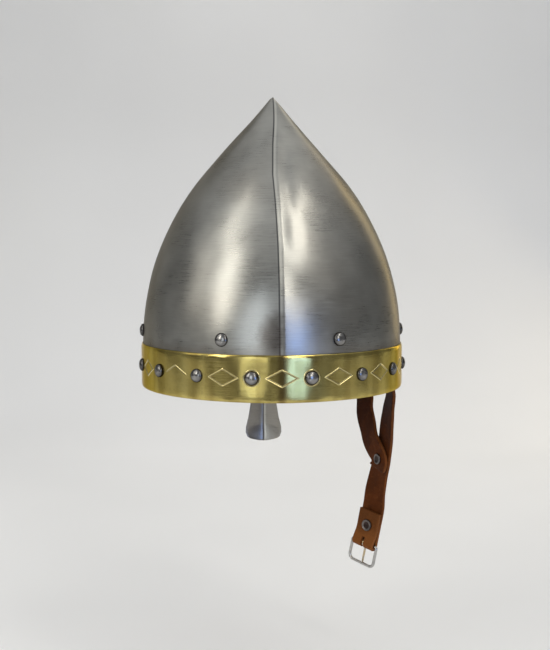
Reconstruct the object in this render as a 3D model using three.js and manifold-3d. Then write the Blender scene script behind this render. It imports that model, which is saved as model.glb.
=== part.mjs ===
// A conical steel helmet with a nasal, a brass rim band, a leather liner and a buckled chin strap.
// Millimetres, +Z up. The origin is the centre of the rim's lower edge, -Y is the back ridge,
// +Y the nasal, +X the wearer's right.
import * as THREE from 'three';
import { mergeVertices } from 'three/addons/utils/BufferGeometryUtils.js';
import Module from 'manifold-3d';

const wasm = await Module();
wasm.setup();

// Skull: outside sizes at the rim, the straight wall, the tip's half angle and the medial ridge.
const skullHalfWidth = 103.3;
const skullHalfLength = 113.3;
const apexHeight = 229;
const wallHeight = 34;
const tipHalfAngle = THREE.MathUtils.degToRad(41.3);
const steel = 1.6;
const ridgeFullHeight = 120;
const rimRidgeShare = 0.012;
const crownRidgeShare = 0.045;
const ridgeSharpness = 4;

// Weld bead inside the seam, from above the liner band over the apex.
const weldWidth = 4;
const weldHeight = 1.2;
const weldSeat = 0.75;

// Brass band round the rim, its ends butted behind the nasal.
const bandHeight = 33.8;
const brass = 0.8;
const buttGap = 1;

// Nasal: a plate with a cross foot over the band and a stem up the front ridge.
const nasalPlate = 2;
const nasalDrop = 68;
const nasalRise = 75;
const nasalStemHalfWidth = 11;
const nasalFootHalfWidth = 28.5;
const nasalFootMargin = 3.5;
const nasalEndHalfWidth = 16;
const nasalKeel = 5;

// Rivets. The band's row and the liner's row run round the skull at these heights.
const bandRivetHeight = 17.5;
const linerRivetHeight = 44;
const nasalRivetHeight = 65;
const headRadius = 5;
const headHeight = 2.8;
const nasalHeadRadius = 4;
const shankRadius = 2;
const buttonRadius = 3.6;
const buttonHeight = 1.2;
const washerRadius = 4.6;
const washerThickness = 0.8;

// Liner: a leather headband, leaves that rise from it, and the lace that gathers them.
const linerLeather = 2;
const linerBottom = 30;
const linerTop = 58;
const crownRoom = 81;
const crownShare = 0.42;
const leafRootShare = 0.9;
const leafWaistShare = 0.68;
const leafTipShare = 0.8;
const leafCurve = 1.9;
const laceRadius = 1.5;

// Chin straps: strap leather, the drop from the rim to the joint and to the buckle's bar,
// and how far the bar lies from the first root, along the two roots' line and inward of it.
const strapWidth = 22;
const strapLeather = 2.8;
const tabTop = 29;
const barDrop = 144.8;
const strapDrift = 18.9;
const strapLean = 6.7;
const strapTurn = THREE.MathUtils.degToRad(33);
const legOverlap = 9;
const jointHeadRadius = 4.25;
const capHeadRadius = 5;
const capHeadHeight = 2;
const capRise = 15.7;
const turnBackLength = 28.5;
const slotHalfWidth = 1.5;
const slotRise = 5.5;

// Buckle: a wire frame with its bar, and the prong that loops round the bar.
const wireRadius = 1.25;
const frameHalfWidth = 13.1;
const frameDrop = 18.3;
const frameCorner = 4;
const barCorner = 1.9;
const prongRadius = 0.95;
const prongOverhang = 1.4;
const prongLoopShare = 0.71;

// Tongue strap: its end beyond the joint, the holes in it, and how it is tucked up.
const tongueLength = 96;
const tonguePoint = 9;
const holeRadius = 1.7;
const holePitch = 11;
const holeInset = 22;
const holeCount = 5;
const tuckTurn = THREE.MathUtils.degToRad(165);
const foldTurn = THREE.MathUtils.degToRad(40);

// Clearance between neighbours, and how far a cutter runs past what it cuts.
const gap = 0.3;
const overrun = 2;

// Counts and resolutions. backRivetCount is how many band rivets come before a strap's two.
const bandRivetsPerSide = 8;
const backRivetCount = 4;
const linerPairShares = [0.0645, 0.235, 0.4355];
const skullColumns = 16;
const arcRows = 8;
const coneRows = 3;
const turnSamples = 360;
const roundSides = 10;
const domeRings = 4;
const wireSides = 8;
const cornerSteps = 3;
const loopSteps = 8;
const leafSteps = 8;
const laceSteps = 24;
const foldSteps = 6;
const probeShare = 0.001;

const steelFinish = finish('#8b8c8c', 0.34, 1);
const brassFinish = finish('#c9a544', 0.22, 1);
const rivetFinish = finish('#565352', 0.4, 1);
const strapFinish = finish('#6b3418', 0.7, 0);
const linerFinish = finish('#8a6442', 0.8, 0);
const laceFinish = finish('#3d2a1c', 0.85, 0);
const nickelFinish = finish('#c9c9c6', 0.18, 1);
const prongFinish = finish('#bfa873', 0.25, 1);

function finish(color, roughness, metalness) {
  return new THREE.MeshStandardMaterial({ color, roughness, metalness, flatShading: true });
}

// Closed solid from points and triangles: doubles merged, slivers dropped, faces turned outwards.
function solidFrom(points, triangles) {
  const rough = new THREE.BufferGeometry();
  const numbers = points.flatMap((p) => [p.x, p.y, p.z]);
  rough.setAttribute('position', new THREE.Float32BufferAttribute(numbers, 3));
  rough.setIndex(triangles.flat());
  return outwards(rough);
}

function outwards(rough) {
  const bare = rough.clone();
  bare.deleteAttribute('normal');
  bare.deleteAttribute('uv');
  const merged = mergeVertices(bare);
  const position = merged.attributes.position;
  const source = merged.index.array;
  const kept = [];
  let volume = 0;
  for (let i = 0; i < source.length; i += 3) {
    const [a, b, c] = [source[i], source[i + 1], source[i + 2]];
    if (a === b || b === c || c === a) continue;
    kept.push([a, b, c]);
    const [p, q, r] = [a, b, c].map((k) => new THREE.Vector3().fromBufferAttribute(position, k));
    volume += p.dot(q.cross(r));
  }
  merged.setIndex(kept.flatMap(([a, b, c]) => (volume < 0 ? [a, c, b] : [a, b, c])));
  merged.computeVertexNormals();
  return merged;
}

function cut(geometry, cutters) {
  const toSolid = (g) => {
    const bare = outwards(g);
    const vertProperties = new Float32Array(bare.attributes.position.array);
    const triVerts = new Uint32Array(bare.index.array);
    return new wasm.Manifold(new wasm.Mesh({ numProp: 3, vertProperties, triVerts }));
  };
  const result = cutters.reduce((solid, cutter) => solid.subtract(toSolid(cutter)), toSolid(geometry));
  const mesh = result.getMesh();
  const made = new THREE.BufferGeometry();
  made.setAttribute('position', new THREE.Float32BufferAttribute(mesh.vertProperties, 3));
  made.setIndex([...mesh.triVerts]);
  made.computeVertexNormals();
  return made;
}

// Plate between two grids of points with the same rows and columns. A closed one wraps round.
function gridSolid(front, back, closed = false) {
  const rows = front.length;
  const columns = front[0].length;
  const at = (side, i, j) => side * rows * columns + i * columns + (j % columns);
  const triangles = [];
  const quad = (a, b, c, d) => triangles.push([a, b, c], [a, c, d]);
  const spans = closed ? columns : columns - 1;
  for (let j = 0; j < spans; j++) {
    for (let i = 0; i < rows - 1; i++) {
      quad(at(0, i, j), at(0, i, j + 1), at(0, i + 1, j + 1), at(0, i + 1, j));
      quad(at(1, i, j), at(1, i + 1, j), at(1, i + 1, j + 1), at(1, i, j + 1));
    }
    quad(at(0, 0, j), at(1, 0, j), at(1, 0, j + 1), at(0, 0, j + 1));
    quad(at(0, rows - 1, j), at(0, rows - 1, j + 1), at(1, rows - 1, j + 1), at(1, rows - 1, j));
  }
  if (!closed) {
    for (let i = 0; i < rows - 1; i++) {
      quad(at(0, i, 0), at(0, i + 1, 0), at(1, i + 1, 0), at(1, i, 0));
      quad(at(0, i, spans), at(1, i, spans), at(1, i + 1, spans), at(0, i + 1, spans));
    }
  }
  return solidFrom([...front.flat(), ...back.flat()], triangles);
}

// Round wire along points in one plane, closed into a ring or capped at its ends.
function wire(points, planeNormal, radius, closed) {
  const count = points.length;
  const rings = points.map((p, i) => {
    const before = points[closed ? (i + count - 1) % count : Math.max(i - 1, 0)];
    const after = points[closed ? (i + 1) % count : Math.min(i + 1, count - 1)];
    const side = new THREE.Vector3().subVectors(after, before).cross(planeNormal).normalize();
    return range(wireSides).map((k) => {
      const angle = (2 * Math.PI * (k + 1 / 2)) / wireSides;
      const out = side.clone().multiplyScalar(radius * Math.cos(angle));
      return out.addScaledVector(planeNormal, radius * Math.sin(angle)).add(p);
    });
  });
  const triangles = [];
  const at = (i, k) => (i % count) * wireSides + (k % wireSides);
  for (let i = 0; i < (closed ? count : count - 1); i++) {
    for (let k = 0; k < wireSides; k++) {
      triangles.push([at(i, k), at(i, k + 1), at(i + 1, k + 1)]);
      triangles.push([at(i, k), at(i + 1, k + 1), at(i + 1, k)]);
    }
  }
  if (!closed) {
    const last = count - 1;
    for (let k = 1; k < wireSides - 1; k++) {
      triangles.push([at(0, 0), at(0, k + 1), at(0, k)]);
      triangles.push([at(last, 0), at(last, k), at(last, k + 1)]);
    }
  }
  return solidFrom(rings.flat(), triangles);
}

function range(count) {
  return [...Array(count).keys()];
}

function mesh(name, geometry, material, parent) {
  const made = new THREE.Mesh(geometry, material);
  made.name = name;
  parent.add(made);
  return made;
}

// Skull surface. Its profile is a straight wall, then one arc, then a straight cone to the apex.
const tipSlope = Math.tan(tipHalfAngle);
const profileRadius = (tipSlope * (apexHeight - wallHeight) - skullHalfWidth)
  / (tipSlope * Math.sin(tipHalfAngle) - 1 + Math.cos(tipHalfAngle));
const coneStart = wallHeight + profileRadius * Math.sin(tipHalfAngle);

function profileShare(z) {
  if (z <= wallHeight) return 1;
  if (z >= coneStart) return ((apexHeight - z) * tipSlope) / skullHalfWidth;
  return 1 - (profileRadius - Math.sqrt(profileRadius ** 2 - (z - wallHeight) ** 2)) / skullHalfWidth;
}

// Each level is an ellipse, lifted towards the front and back ridges. turn is 0 at the back ridge.
function skullPoint(turn, z) {
  const climb = THREE.MathUtils.smoothstep(z, bandHeight, ridgeFullHeight);
  const ridge = THREE.MathUtils.lerp(rimRidgeShare, crownRidgeShare, climb);
  const lift = 1 + ridge * (1 - Math.abs(Math.sin(turn))) ** ridgeSharpness;
  const share = profileShare(z) * lift;
  const [across, along] = [skullHalfWidth * share, skullHalfLength * share];
  return new THREE.Vector3(across * Math.sin(turn), -along * Math.cos(turn), z);
}

function skullNormal(turn, z) {
  const [stepTurn, stepHeight] = [Math.PI * probeShare, apexHeight * probeShare];
  const along = skullPoint(turn + stepTurn, z).sub(skullPoint(turn - stepTurn, z));
  const up = skullPoint(turn, z + stepHeight).sub(skullPoint(turn, z - stepHeight));
  return along.cross(up).normalize();
}

// Point at a depth inside the skull's outer face; a negative depth lies outside it.
function wallPoint(turn, z, depth) {
  return skullPoint(turn, z).addScaledVector(skullNormal(turn, z), -depth);
}

// Turn at a share of the way round the level z, from the back ridge. Negative shares go left.
function turnAt(share, z) {
  const samples = range(turnSamples + 1).map((k) => (k * Math.PI) / turnSamples);
  const lengths = [0];
  samples.slice(1).forEach((turn, k) => {
    lengths.push(lengths[k] + skullPoint(turn, z).distanceTo(skullPoint(samples[k], z)));
  });
  const target = 2 * Math.abs(share) * lengths[turnSamples];
  const k = lengths.findIndex((length) => length >= target);
  const rest = (target - lengths[k - 1]) / (lengths[k] - lengths[k - 1]);
  return Math.sign(share) * THREE.MathUtils.lerp(samples[k - 1], samples[k], rest);
}

// Plate that follows the wall between two depths.
function wallPlate(turns, heights, outside, inside, closed = false) {
  const grid = (depth) => heights.map((z) => turns.map((turn) => wallPoint(turn, z, depth)));
  return gridSolid(grid(outside), grid(inside), closed);
}

const skullHeights = [0, wallHeight,
  ...range(arcRows).map((k) => wallHeight + profileRadius * Math.sin((tipHalfAngle * (k + 1)) / arcRows)),
  ...range(coneRows - 1).map((k) => THREE.MathUtils.lerp(coneStart, apexHeight, (k + 1) / coneRows))];

function skullHalf(side, holes) {
  const turns = range(skullColumns + 1).map((k) => (side * k * Math.PI) / skullColumns);
  const seamTurn = (turn, point) => (Math.abs(Math.sin(turn)) < probeShare ? point.setX(0) : point);
  const grid = (depth, apex) => [
    ...skullHeights.map((z) => turns.map((turn) => seamTurn(turn, wallPoint(turn, z, depth)))),
    turns.map(() => new THREE.Vector3(0, 0, apex)),
  ];
  const innerApex = apexHeight - steel / Math.sin(tipHalfAngle);
  return cut(gridSolid(grid(0, apexHeight), grid(steel, innerApex)), holes);
}

// How far the middle of a facet lies inside the true curve, and how far the next facet rises
// towards a flat disc of a radius whose middle is on the line between them.
const facetSag = skullHalfLength * (1 - Math.cos(Math.PI / skullColumns / 2));
const facetRise = (radius) => radius * Math.tan(Math.PI / skullColumns);

// Where a fastener passes through the wall: the point on the skull's outer facet and its normal.
function wallPlace(share, z) {
  const turn = turnAt(share, z);
  const column = (Math.abs(turn) * skullColumns) / Math.PI;
  const [near, far] = [Math.floor(column), Math.floor(column) + 1]
    .map((k) => skullPoint((Math.sign(share) * k * Math.PI) / skullColumns, z));
  const up = skullPoint(turn, z + apexHeight * probeShare).sub(skullPoint(turn, z));
  const normal = new THREE.Vector3().subVectors(far, near).multiplyScalar(Math.sign(share)).cross(up);
  return { turn, point: near.lerp(far, column - Math.floor(column)), normal: normal.normalize() };
}

// Place on the front ridge itself, where the two halves meet.
function ridgePlace(z) {
  return { turn: Math.PI, point: skullPoint(Math.PI, z), normal: skullNormal(Math.PI, z) };
}

function placeAlong(object, place) {
  object.position.copy(place.point);
  object.quaternion.setFromUnitVectors(new THREE.Vector3(0, 1, 0), place.normal);
  return object;
}

// Domed rivet about +Y: the head's seat and the button's seat are measured from the origin.
function rivetShape(radius, height, headSeat, buttonSeat) {
  const foot = buttonSeat - buttonHeight;
  const top = headSeat + height;
  const dome = range(domeRings).map((k) => {
    const angle = (k * Math.PI) / 2 / domeRings;
    return new THREE.Vector2(radius * Math.cos(angle), headSeat + height * Math.sin(angle));
  });
  const outline = [
    new THREE.Vector2(0, foot), new THREE.Vector2(buttonRadius, foot),
    new THREE.Vector2(buttonRadius, buttonSeat), new THREE.Vector2(shankRadius, buttonSeat),
    new THREE.Vector2(shankRadius, headSeat), ...dome, new THREE.Vector2(0, top),
  ];
  return outwards(new THREE.LatheGeometry(outline, roundSides));
}

function rivetAt(name, place, radius, height, headSeat, buttonSeat, parent) {
  const made = mesh(name, rivetShape(radius, height, headSeat, buttonSeat), rivetFinish, parent);
  return placeAlong(made, place);
}

// Cutter for a shank's hole, centred where the shank crosses the wall.
function holeCutter(place, radius = shankRadius + gap) {
  const length = 2 * (steel + brass + strapLeather + nasalPlate + overrun);
  const cutter = new THREE.Mesh(new THREE.CylinderGeometry(radius, radius, length, roundSides));
  placeAlong(cutter, place).updateMatrix();
  return cutter.geometry.applyMatrix4(cutter.matrix);
}

// Places of every rivet. Band rivets stand at even spaces, with a pair astride each ridge.
const strapRivets = [backRivetCount + 1, backRivetCount + 2];
const sides = [{ word: 'right', sign: 1 }, { word: 'left', sign: -1 }];
const bandPlaces = sides.flatMap(({ word, sign }) => range(bandRivetsPerSide).map((k) => ({
  ...wallPlace((sign * (k + 1 / 2)) / (2 * bandRivetsPerSide), bandRivetHeight), word, number: k + 1,
})));
const linerPlaces = sides.flatMap(({ word, sign }) => linerPairShares.map((share, k) => ({
  ...wallPlace(sign * share, linerRivetHeight), word, number: k + 1,
})));
const nasalPlace = ridgePlace(nasalRivetHeight);
const allHoles = [...bandPlaces, ...linerPlaces, nasalPlace].map((place) => holeCutter(place));
const bandHoles = bandPlaces.map((place) => holeCutter(place));

const helmet = new THREE.Group();
const shell = new THREE.Group();
const liner = new THREE.Group();
helmet.add(shell, liner);

mesh('skull_right', skullHalf(1, allHoles), steelFinish, shell);
mesh('skull_left', skullHalf(-1, allHoles), steelFinish, shell);

// Weld bead: a strip that follows the seam's inside, up the back, over the apex and down the front.
function weldShape() {
  const depth = steel + weldSeat;
  const foot = Math.max(linerTop, nasalRivetHeight + buttonRadius) + overrun;
  const climb = [foot, ...skullHeights.filter((z) => z > foot)];
  const spread = weldWidth / 2 / tipSlope;
  const innerApex = (d) => new THREE.Vector3(0, 0, apexHeight - spread - d / Math.sin(tipHalfAngle));
  const line = (d) => [
    ...climb.map((z) => wallPoint(0, z, d).setX(0)), innerApex(d),
    ...[...climb].reverse().map((z) => wallPoint(Math.PI, z, d).setX(0)),
  ];
  const across = (points) => points.map((p) => [-1, 1].map((s) => p.clone().setX((s * weldWidth) / 2)));
  return gridSolid(across(line(depth)), across(line(depth + weldHeight)));
}
mesh('ridge_weld', weldShape(), steelFinish, shell);

// Brass band: open at the front by the butt gap.
function bandShape() {
  const butt = buttGap / 2 / skullHalfWidth;
  const inner = range(2 * skullColumns - 1).map((k) => (Math.PI * (k + 1)) / skullColumns - Math.PI);
  const turns = [-Math.PI + butt, ...inner, Math.PI - butt];
  return cut(wallPlate(turns, [0, bandHeight], -gap - brass, -gap), bandHoles);
}
mesh('rim_band', bandShape(), brassFinish, shell);

// Nasal outline. Stem rows: shares of the rise over the band and of the stem's half width. Drop
// rows: shares of the drop below the rim, of the end's half width and of the keel.
const stemRowShares = [
  { rise: 1, width: 0.35 }, { rise: 0.87, width: 0.85 }, { rise: 0.73, width: 1 },
  { rise: 0.4, width: 1 }, { rise: 0.15, width: 1 },
];
const dropRowShares = [
  { drop: 0.15, width: 0.69, keel: 0.8 }, { drop: 0.5, width: 0.72, keel: 1 },
  { drop: 0.85, width: 1, keel: 1 }, { drop: 1, width: 0.8, keel: 0.7 },
];
const nasalColumnShares = [-1, -0.75, -0.5, -0.25, 0, 0.25, 0.5, 0.75, 1];

function nasalRows() {
  const footTop = bandHeight - nasalFootMargin;
  const footRow = (z, half) => ({ z, half, keel: 0, overBand: true });
  return [
    ...stemRowShares.map(({ rise, width }) => ({
      z: THREE.MathUtils.lerp(bandHeight, nasalRise, rise),
      half: width * nasalStemHalfWidth,
      keel: 0,
    })),
    { z: bandHeight + 2 * gap, half: nasalStemHalfWidth, keel: 0 },
    footRow(bandHeight + gap, nasalStemHalfWidth), footRow(footTop, nasalStemHalfWidth),
    footRow(footTop - gap, nasalFootHalfWidth), footRow(nasalFootMargin + gap, nasalFootHalfWidth),
    footRow(nasalFootMargin, nasalStemHalfWidth),
    ...dropRowShares.map(({ drop, width, keel }) => ({
      z: -drop * nasalDrop,
      half: width * nasalEndHalfWidth,
      keel: keel * nasalKeel,
      overBand: true,
    })),
  ];
}

function nasalShape() {
  const pointAt = ({ z, half, keel, overBand }, share, out) => {
    const turn = Math.PI - Math.asin((share * half) / skullHalfWidth);
    const seat = gap + (overBand ? brass + 2 * gap : 0);
    const point = wallPoint(turn, Math.max(z, 0), -seat - out).setZ(z);
    return point.add(new THREE.Vector3(0, keel * (1 - Math.abs(share)), 0));
  };
  const grid = (out) => nasalRows()
    .map((row) => nasalColumnShares.map((share) => pointAt(row, share, out)));
  const holes = [nasalPlace, ...bandPlaces.filter(({ number }) => number === bandRivetsPerSide)];
  return cut(gridSolid(grid(nasalPlate), grid(0)), holes.map((place) => holeCutter(place)));
}
mesh('nasal', nasalShape(), steelFinish, shell);
const nasalHeadSeat = nasalPlate + 2 * gap;
rivetAt('nasal_rivet', nasalPlace, nasalHeadRadius, headHeight, nasalHeadSeat, -steel - 3 * gap, shell);

// Band rivets. Those beside the front ridge also hold the nasal, and two on each side hold a strap.
bandPlaces.forEach((place) => {
  const nasalStack = place.number === bandRivetsPerSide ? nasalPlate + 3 * gap : 0;
  const strapStack = strapRivets.includes(place.number) ? strapLeather + gap : 0;
  const headSeat = gap + brass + gap + nasalStack;
  const buttonSeat = -steel - gap - facetRise(buttonRadius) - strapStack;
  const name = `band_rivet_${place.word}_${place.number}`;
  rivetAt(name, place, headRadius, headHeight, headSeat, buttonSeat, shell);
});

// Liner headband, with its rivets and the washers under their buttons.
const ringTurns = range(2 * skullColumns).map((k) => (Math.PI * k) / skullColumns);
const linerDepth = steel + gap;
const linerHoles = linerPlaces.map((place) => holeCutter(place));
const linerHeights = [linerBottom, linerTop];
const headband = wallPlate(ringTurns, linerHeights, linerDepth, linerDepth + linerLeather, true);
mesh('liner_band', cut(headband, linerHoles), linerFinish, liner);

function washerShape(seat) {
  const corners = [[shankRadius + gap, seat], [washerRadius, seat],
    [washerRadius, seat - washerThickness], [shankRadius + gap, seat - washerThickness]];
  const outline = [...corners, corners[0]].map(([x, y]) => new THREE.Vector2(x, y));
  return outwards(new THREE.LatheGeometry(outline, roundSides));
}

linerPlaces.forEach((place) => {
  const washerSeat = -linerDepth - linerLeather - gap - facetRise(washerRadius);
  const buttonSeat = washerSeat - washerThickness - gap;
  const label = `${place.word}_${place.number}`;
  rivetAt(`liner_rivet_${label}`, place, headRadius, headHeight, gap, buttonSeat, liner);
  placeAlong(mesh(`liner_washer_${label}`, washerShape(washerSeat), rivetFinish, liner), place);
});

// Liner leaves. Each rises from the headband in a curve and ends in a loop round the lace.
const leafHalfWidth = skullHalfWidth * profileShare(linerTop) - linerDepth - linerLeather;
const leafHalfLength = skullHalfLength * profileShare(linerTop) - linerDepth - linerLeather;
const loopRadius = laceRadius + 2 * gap + linerLeather / 2;
const leafSpan = Math.PI / linerPlaces.length;
const crownHeight = apexHeight - crownRoom;
const plateColumnShares = [-1, -1 / 3, 1 / 3, 1];

function leafPath() {
  const rise = range(leafSteps + 1).map((k) => {
    const way = k / leafSteps;
    const climb = (crownHeight - linerTop - gap) * Math.sin((way * Math.PI) / 2);
    const widthShare = way < 1 / 2 ? THREE.MathUtils.lerp(leafRootShare, leafWaistShare, 2 * way)
      : THREE.MathUtils.lerp(leafWaistShare, leafTipShare, 2 * way - 1);
    const z = linerTop + gap + climb;
    const share = (profileShare(z) / profileShare(linerTop)) * (1 - (1 - crownShare) * way ** leafCurve);
    return { share, z, widthShare, offset: 0 };
  });
  const topShare = rise[leafSteps].share;
  const loop = range(loopSteps - 2).map((k) => {
    const angle = Math.PI / 2 + (2 * Math.PI * (k + 1)) / loopSteps;
    const z = crownHeight - loopRadius + loopRadius * Math.sin(angle);
    return { share: topShare, z, widthShare: leafTipShare, offset: loopRadius * Math.cos(angle) };
  });
  return [...rise, ...loop];
}

function leafShape(centreTurn) {
  const path = leafPath();
  const radiusAt = ({ share, offset }) => leafHalfWidth * share + offset;
  const normals = path.map((_, i) => {
    const [a, b] = [path[Math.max(i - 1, 0)], path[Math.min(i + 1, path.length - 1)]];
    const run = new THREE.Vector2(radiusAt(b) - radiusAt(a), b.z - a.z).normalize();
    return new THREE.Vector2(run.y, -run.x);
  });
  const grid = (out) => path.map((step, i) => plateColumnShares.map((column) => {
    const turn = centreTurn + column * step.widthShare * leafSpan;
    const offset = step.offset + out * normals[i].x;
    const x = (leafHalfWidth * step.share + offset) * Math.sin(turn);
    const y = -(leafHalfLength * step.share + offset) * Math.cos(turn);
    return new THREE.Vector3(x, y, step.z + out * normals[i].y);
  }));
  return gridSolid(grid(linerLeather / 2), grid(-linerLeather / 2));
}

linerPlaces.forEach(({ word }, k) => {
  const number = (k % linerPairShares.length) + 1;
  const sign = word === 'right' ? 1 : -1;
  mesh(`liner_leaf_${word}_${number}`, leafShape(sign * (2 * number - 1) * leafSpan), linerFinish, liner);
});

function laceShape() {
  const topShare = leafPath()[leafSteps].share;
  const points = range(laceSteps).map((k) => {
    const turn = (2 * Math.PI * k) / laceSteps;
    const [x, y] = [leafHalfWidth * topShare * Math.cos(turn), leafHalfLength * topShare * Math.sin(turn)];
    return new THREE.Vector3(x, y, crownHeight - loopRadius);
  });
  return wire(points, new THREE.Vector3(0, 0, 1), laceRadius, true);
}
mesh('crown_lace', laceShape(), laceFinish, liner);

// Chin straps, laid out on the wearer's right. The strap is riveted inside the wall at the first
// root, a short leg at the second, and the two meet at the joint rivet below the rim.
const tabDepth = steel + gap + facetSag;
const strapPlaces = strapRivets.map((number) => bandPlaces.find((place) => place.number === number));
const roots = strapPlaces.map(({ turn }) => wallPoint(turn, 0, tabDepth + strapLeather / 2));
const rootsLine = new THREE.Vector3().subVectors(roots[1], roots[0]);
const rootsSpan = rootsLine.length();
rootsLine.normalize();
const inward = new THREE.Vector3(-rootsLine.y, rootsLine.x, 0);

function strapTab({ turn }) {
  const spread = strapWidth / 2 / skullHalfWidth;
  const turns = plateColumnShares.map((share) => turn + share * spread);
  return wallPlate(turns, [0, tabTop], tabDepth, tabDepth + strapLeather);
}

// Ribbon of strap leather along stations, each with its middle, its width direction and a width
// share. A station at the rim is square to the way down, so its upper edge is level.
function ribbon(stations) {
  const half = strapWidth / 2;
  const frames = stations.map(({ middle, across, atRim }, i) => {
    const before = stations[Math.max(i - 1, 0)].middle;
    const after = stations[Math.min(i + 1, stations.length - 1)].middle;
    const run = new THREE.Vector3().subVectors(after, before).normalize();
    if (atRim) run.set(0, 0, -1);
    const level = across.clone().addScaledVector(run, -across.dot(run)).normalize();
    return { level, face: new THREE.Vector3().crossVectors(run, level).normalize() };
  });
  const pointAt = ({ middle, widthShare = 1 }, i, side, out) => middle.clone()
    .addScaledVector(frames[i].level, side * half * widthShare)
    .addScaledVector(frames[i].face, out);
  const grid = (out) => stations
    .map((station, i) => [-1, 1].map((side) => pointAt(station, i, side, out)));
  return gridSolid(grid(strapLeather / 2), grid(-strapLeather / 2));
}

// Level direction across a strap that starts along the wall and turns on its way down.
function acrossAt(turn, twist) {
  const along = new THREE.Vector3(Math.cos(turn) / skullHalfLength, Math.sin(turn) / skullHalfWidth, 0);
  return along.normalize().negate().applyAxisAngle(new THREE.Vector3(0, 0, 1), twist);
}

function strapPoint(drop, along, lean) {
  const point = roots[0].clone().addScaledVector(rootsLine, along).addScaledVector(inward, lean);
  return point.setZ(-drop);
}

// The strap's way down as shares of the drop, the drift, the lean and the turn at the bar.
const strapWayShares = [
  { drop: 0.08, drift: -0.2, lean: -0.42, turn: -0.18 },
  { drop: 0.19, drift: -0.04, lean: -0.37, turn: 0.02 },
  { drop: 0.29, drift: 0.06, lean: -0.29, turn: 0.18 },
  { drop: 0.38, drift: 0.13, lean: -0.24, turn: 0.26 },
  { drop: 0.484, drift: 0.31, lean: -0.12, turn: 0.41, joint: true },
  { drop: 0.58, drift: 0.56, lean: 0, turn: 0.59 },
  { drop: 0.69, drift: 0.74, lean: 0.2, turn: 0.82 },
];
const straightTopShares = { drop: 0.81, drift: 0.82, lean: 0.42 };

function strapWay() {
  const rootAcross = acrossAt(strapPlaces[0].turn, 0);
  const start = { middle: roots[0].clone().setZ(-gap), across: rootAcross, atRim: true };
  return [start, ...strapWayShares.map(({ drop, drift, lean, turn }) => ({
    middle: strapPoint(drop * barDrop, drift * strapDrift, lean * strapLean),
    across: acrossAt(strapPlaces[0].turn, turn * strapTurn),
  }))];
}

// The bar's own frame: x across the strap, y up along it, z towards the head. The strap's last
// stretch runs straight down to the bar on the side away from the head.
const foldRadius = wireRadius + gap + strapLeather / 2;
const wayEnd = strapPoint(barDrop, strapDrift, strapLean);
const straightTop = strapPoint(straightTopShares.drop * barDrop, straightTopShares.drift * strapDrift,
  straightTopShares.lean * strapLean);
const barUp = new THREE.Vector3().subVectors(straightTop, wayEnd).normalize();
const barAcross = acrossAt(strapPlaces[0].turn, strapTurn);
barAcross.addScaledVector(barUp, -barAcross.dot(barUp)).normalize();
const barFace = new THREE.Vector3().crossVectors(barAcross, barUp);
const strapEnd = new THREE.Group();
strapEnd.position.copy(wayEnd).addScaledVector(barFace, foldRadius);
strapEnd.quaternion.setFromRotationMatrix(new THREE.Matrix4().makeBasis(barAcross, barUp, barFace));
strapEnd.updateMatrix();

const stackedLayers = strapLeather + gap;
const turnBackFace = -foldRadius + stackedLayers;

function endStation(rise, out) {
  const middle = new THREE.Vector3(0, rise, out).applyMatrix4(strapEnd.matrix);
  return { middle, across: barAcross };
}

// Down the straight stretch, round the bar, and up the turn-back that lies on the strap.
function strapFold() {
  const fold = range(foldSteps + 1).map((k) => {
    const angle = (Math.PI * k) / foldSteps;
    return endStation(-foldRadius * Math.sin(angle), -foldRadius * Math.cos(angle));
  });
  return [endStation(turnBackLength + strapLeather, -foldRadius), ...fold,
    endStation(slotRise, (foldRadius + turnBackFace) / 2), endStation(2 * slotRise, turnBackFace),
    endStation(turnBackLength, turnBackFace)];
}

function boxCutter(low, high, matrix) {
  const size = new THREE.Vector3().subVectors(high, low);
  const box = new THREE.BoxGeometry(size.x, size.y, size.z);
  return box.translate(...low.clone().add(high).divideScalar(2)).applyMatrix4(matrix);
}

const straps = new THREE.Group();
const buckleSide = new THREE.Group();
helmet.add(straps);
straps.add(buckleSide);

const way = strapWay();
const jointIndex = strapWayShares.findIndex((step) => step.joint) + 1;
const joint = way[jointIndex];
const jointRun = new THREE.Vector3().subVectors(way[jointIndex + 1].middle, way[jointIndex - 1].middle);
const jointFace = joint.across.clone().cross(jointRun).negate().normalize();
const legStack = strapLeather + 2 * gap;
const jointPlace = { point: joint.middle, normal: jointFace };
const capPlace = { point: endStation(capRise, 0).middle, normal: barFace };

// The short leg's way as shares: of the drop to the joint, of the reach from the joint's line
// to the second root, and of the step onto the strap's inner face.
const legWayShares = [
  { drop: 0.17, reach: 0.92, step: 0.02, turn: 0.2 },
  { drop: 0.32, reach: 0.85, step: 0.03, turn: 0.4 },
  { drop: 0.47, reach: 0.79, step: 0.34, turn: 0.6 },
  { drop: 0.64, reach: 0.55, step: 0.78, turn: 0.83 },
  { drop: 0.8, reach: 0.37, step: 1, turn: 1 },
  { drop: 1, reach: 0, step: 1, turn: 1 },
];

function legWay() {
  const rootAcross = acrossAt(strapPlaces[1].turn, 0);
  const start = { middle: roots[1].clone().setZ(-gap), across: rootAcross, atRim: true };
  const level = new THREE.Vector3().subVectors(joint.middle, roots[0]).setZ(0);
  const toRoot = new THREE.Vector3().copy(rootsLine).multiplyScalar(rootsSpan).sub(level);
  const stations = legWayShares.map(({ drop, reach, step, turn }) => {
    const middle = roots[0].clone().add(level).addScaledVector(toRoot, reach);
    const onto = step * (legStack - reach * toRoot.dot(jointFace));
    middle.setZ(drop * joint.middle.z).addScaledVector(jointFace, onto);
    return { middle, across: rootAcross.clone().lerp(joint.across, turn).normalize() };
  });
  const last = stations.at(-1);
  const run = jointRun.clone().normalize();
  const end = { middle: last.middle.clone().addScaledVector(run, legOverlap), across: last.across };
  return [start, ...stations, end];
}

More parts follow.
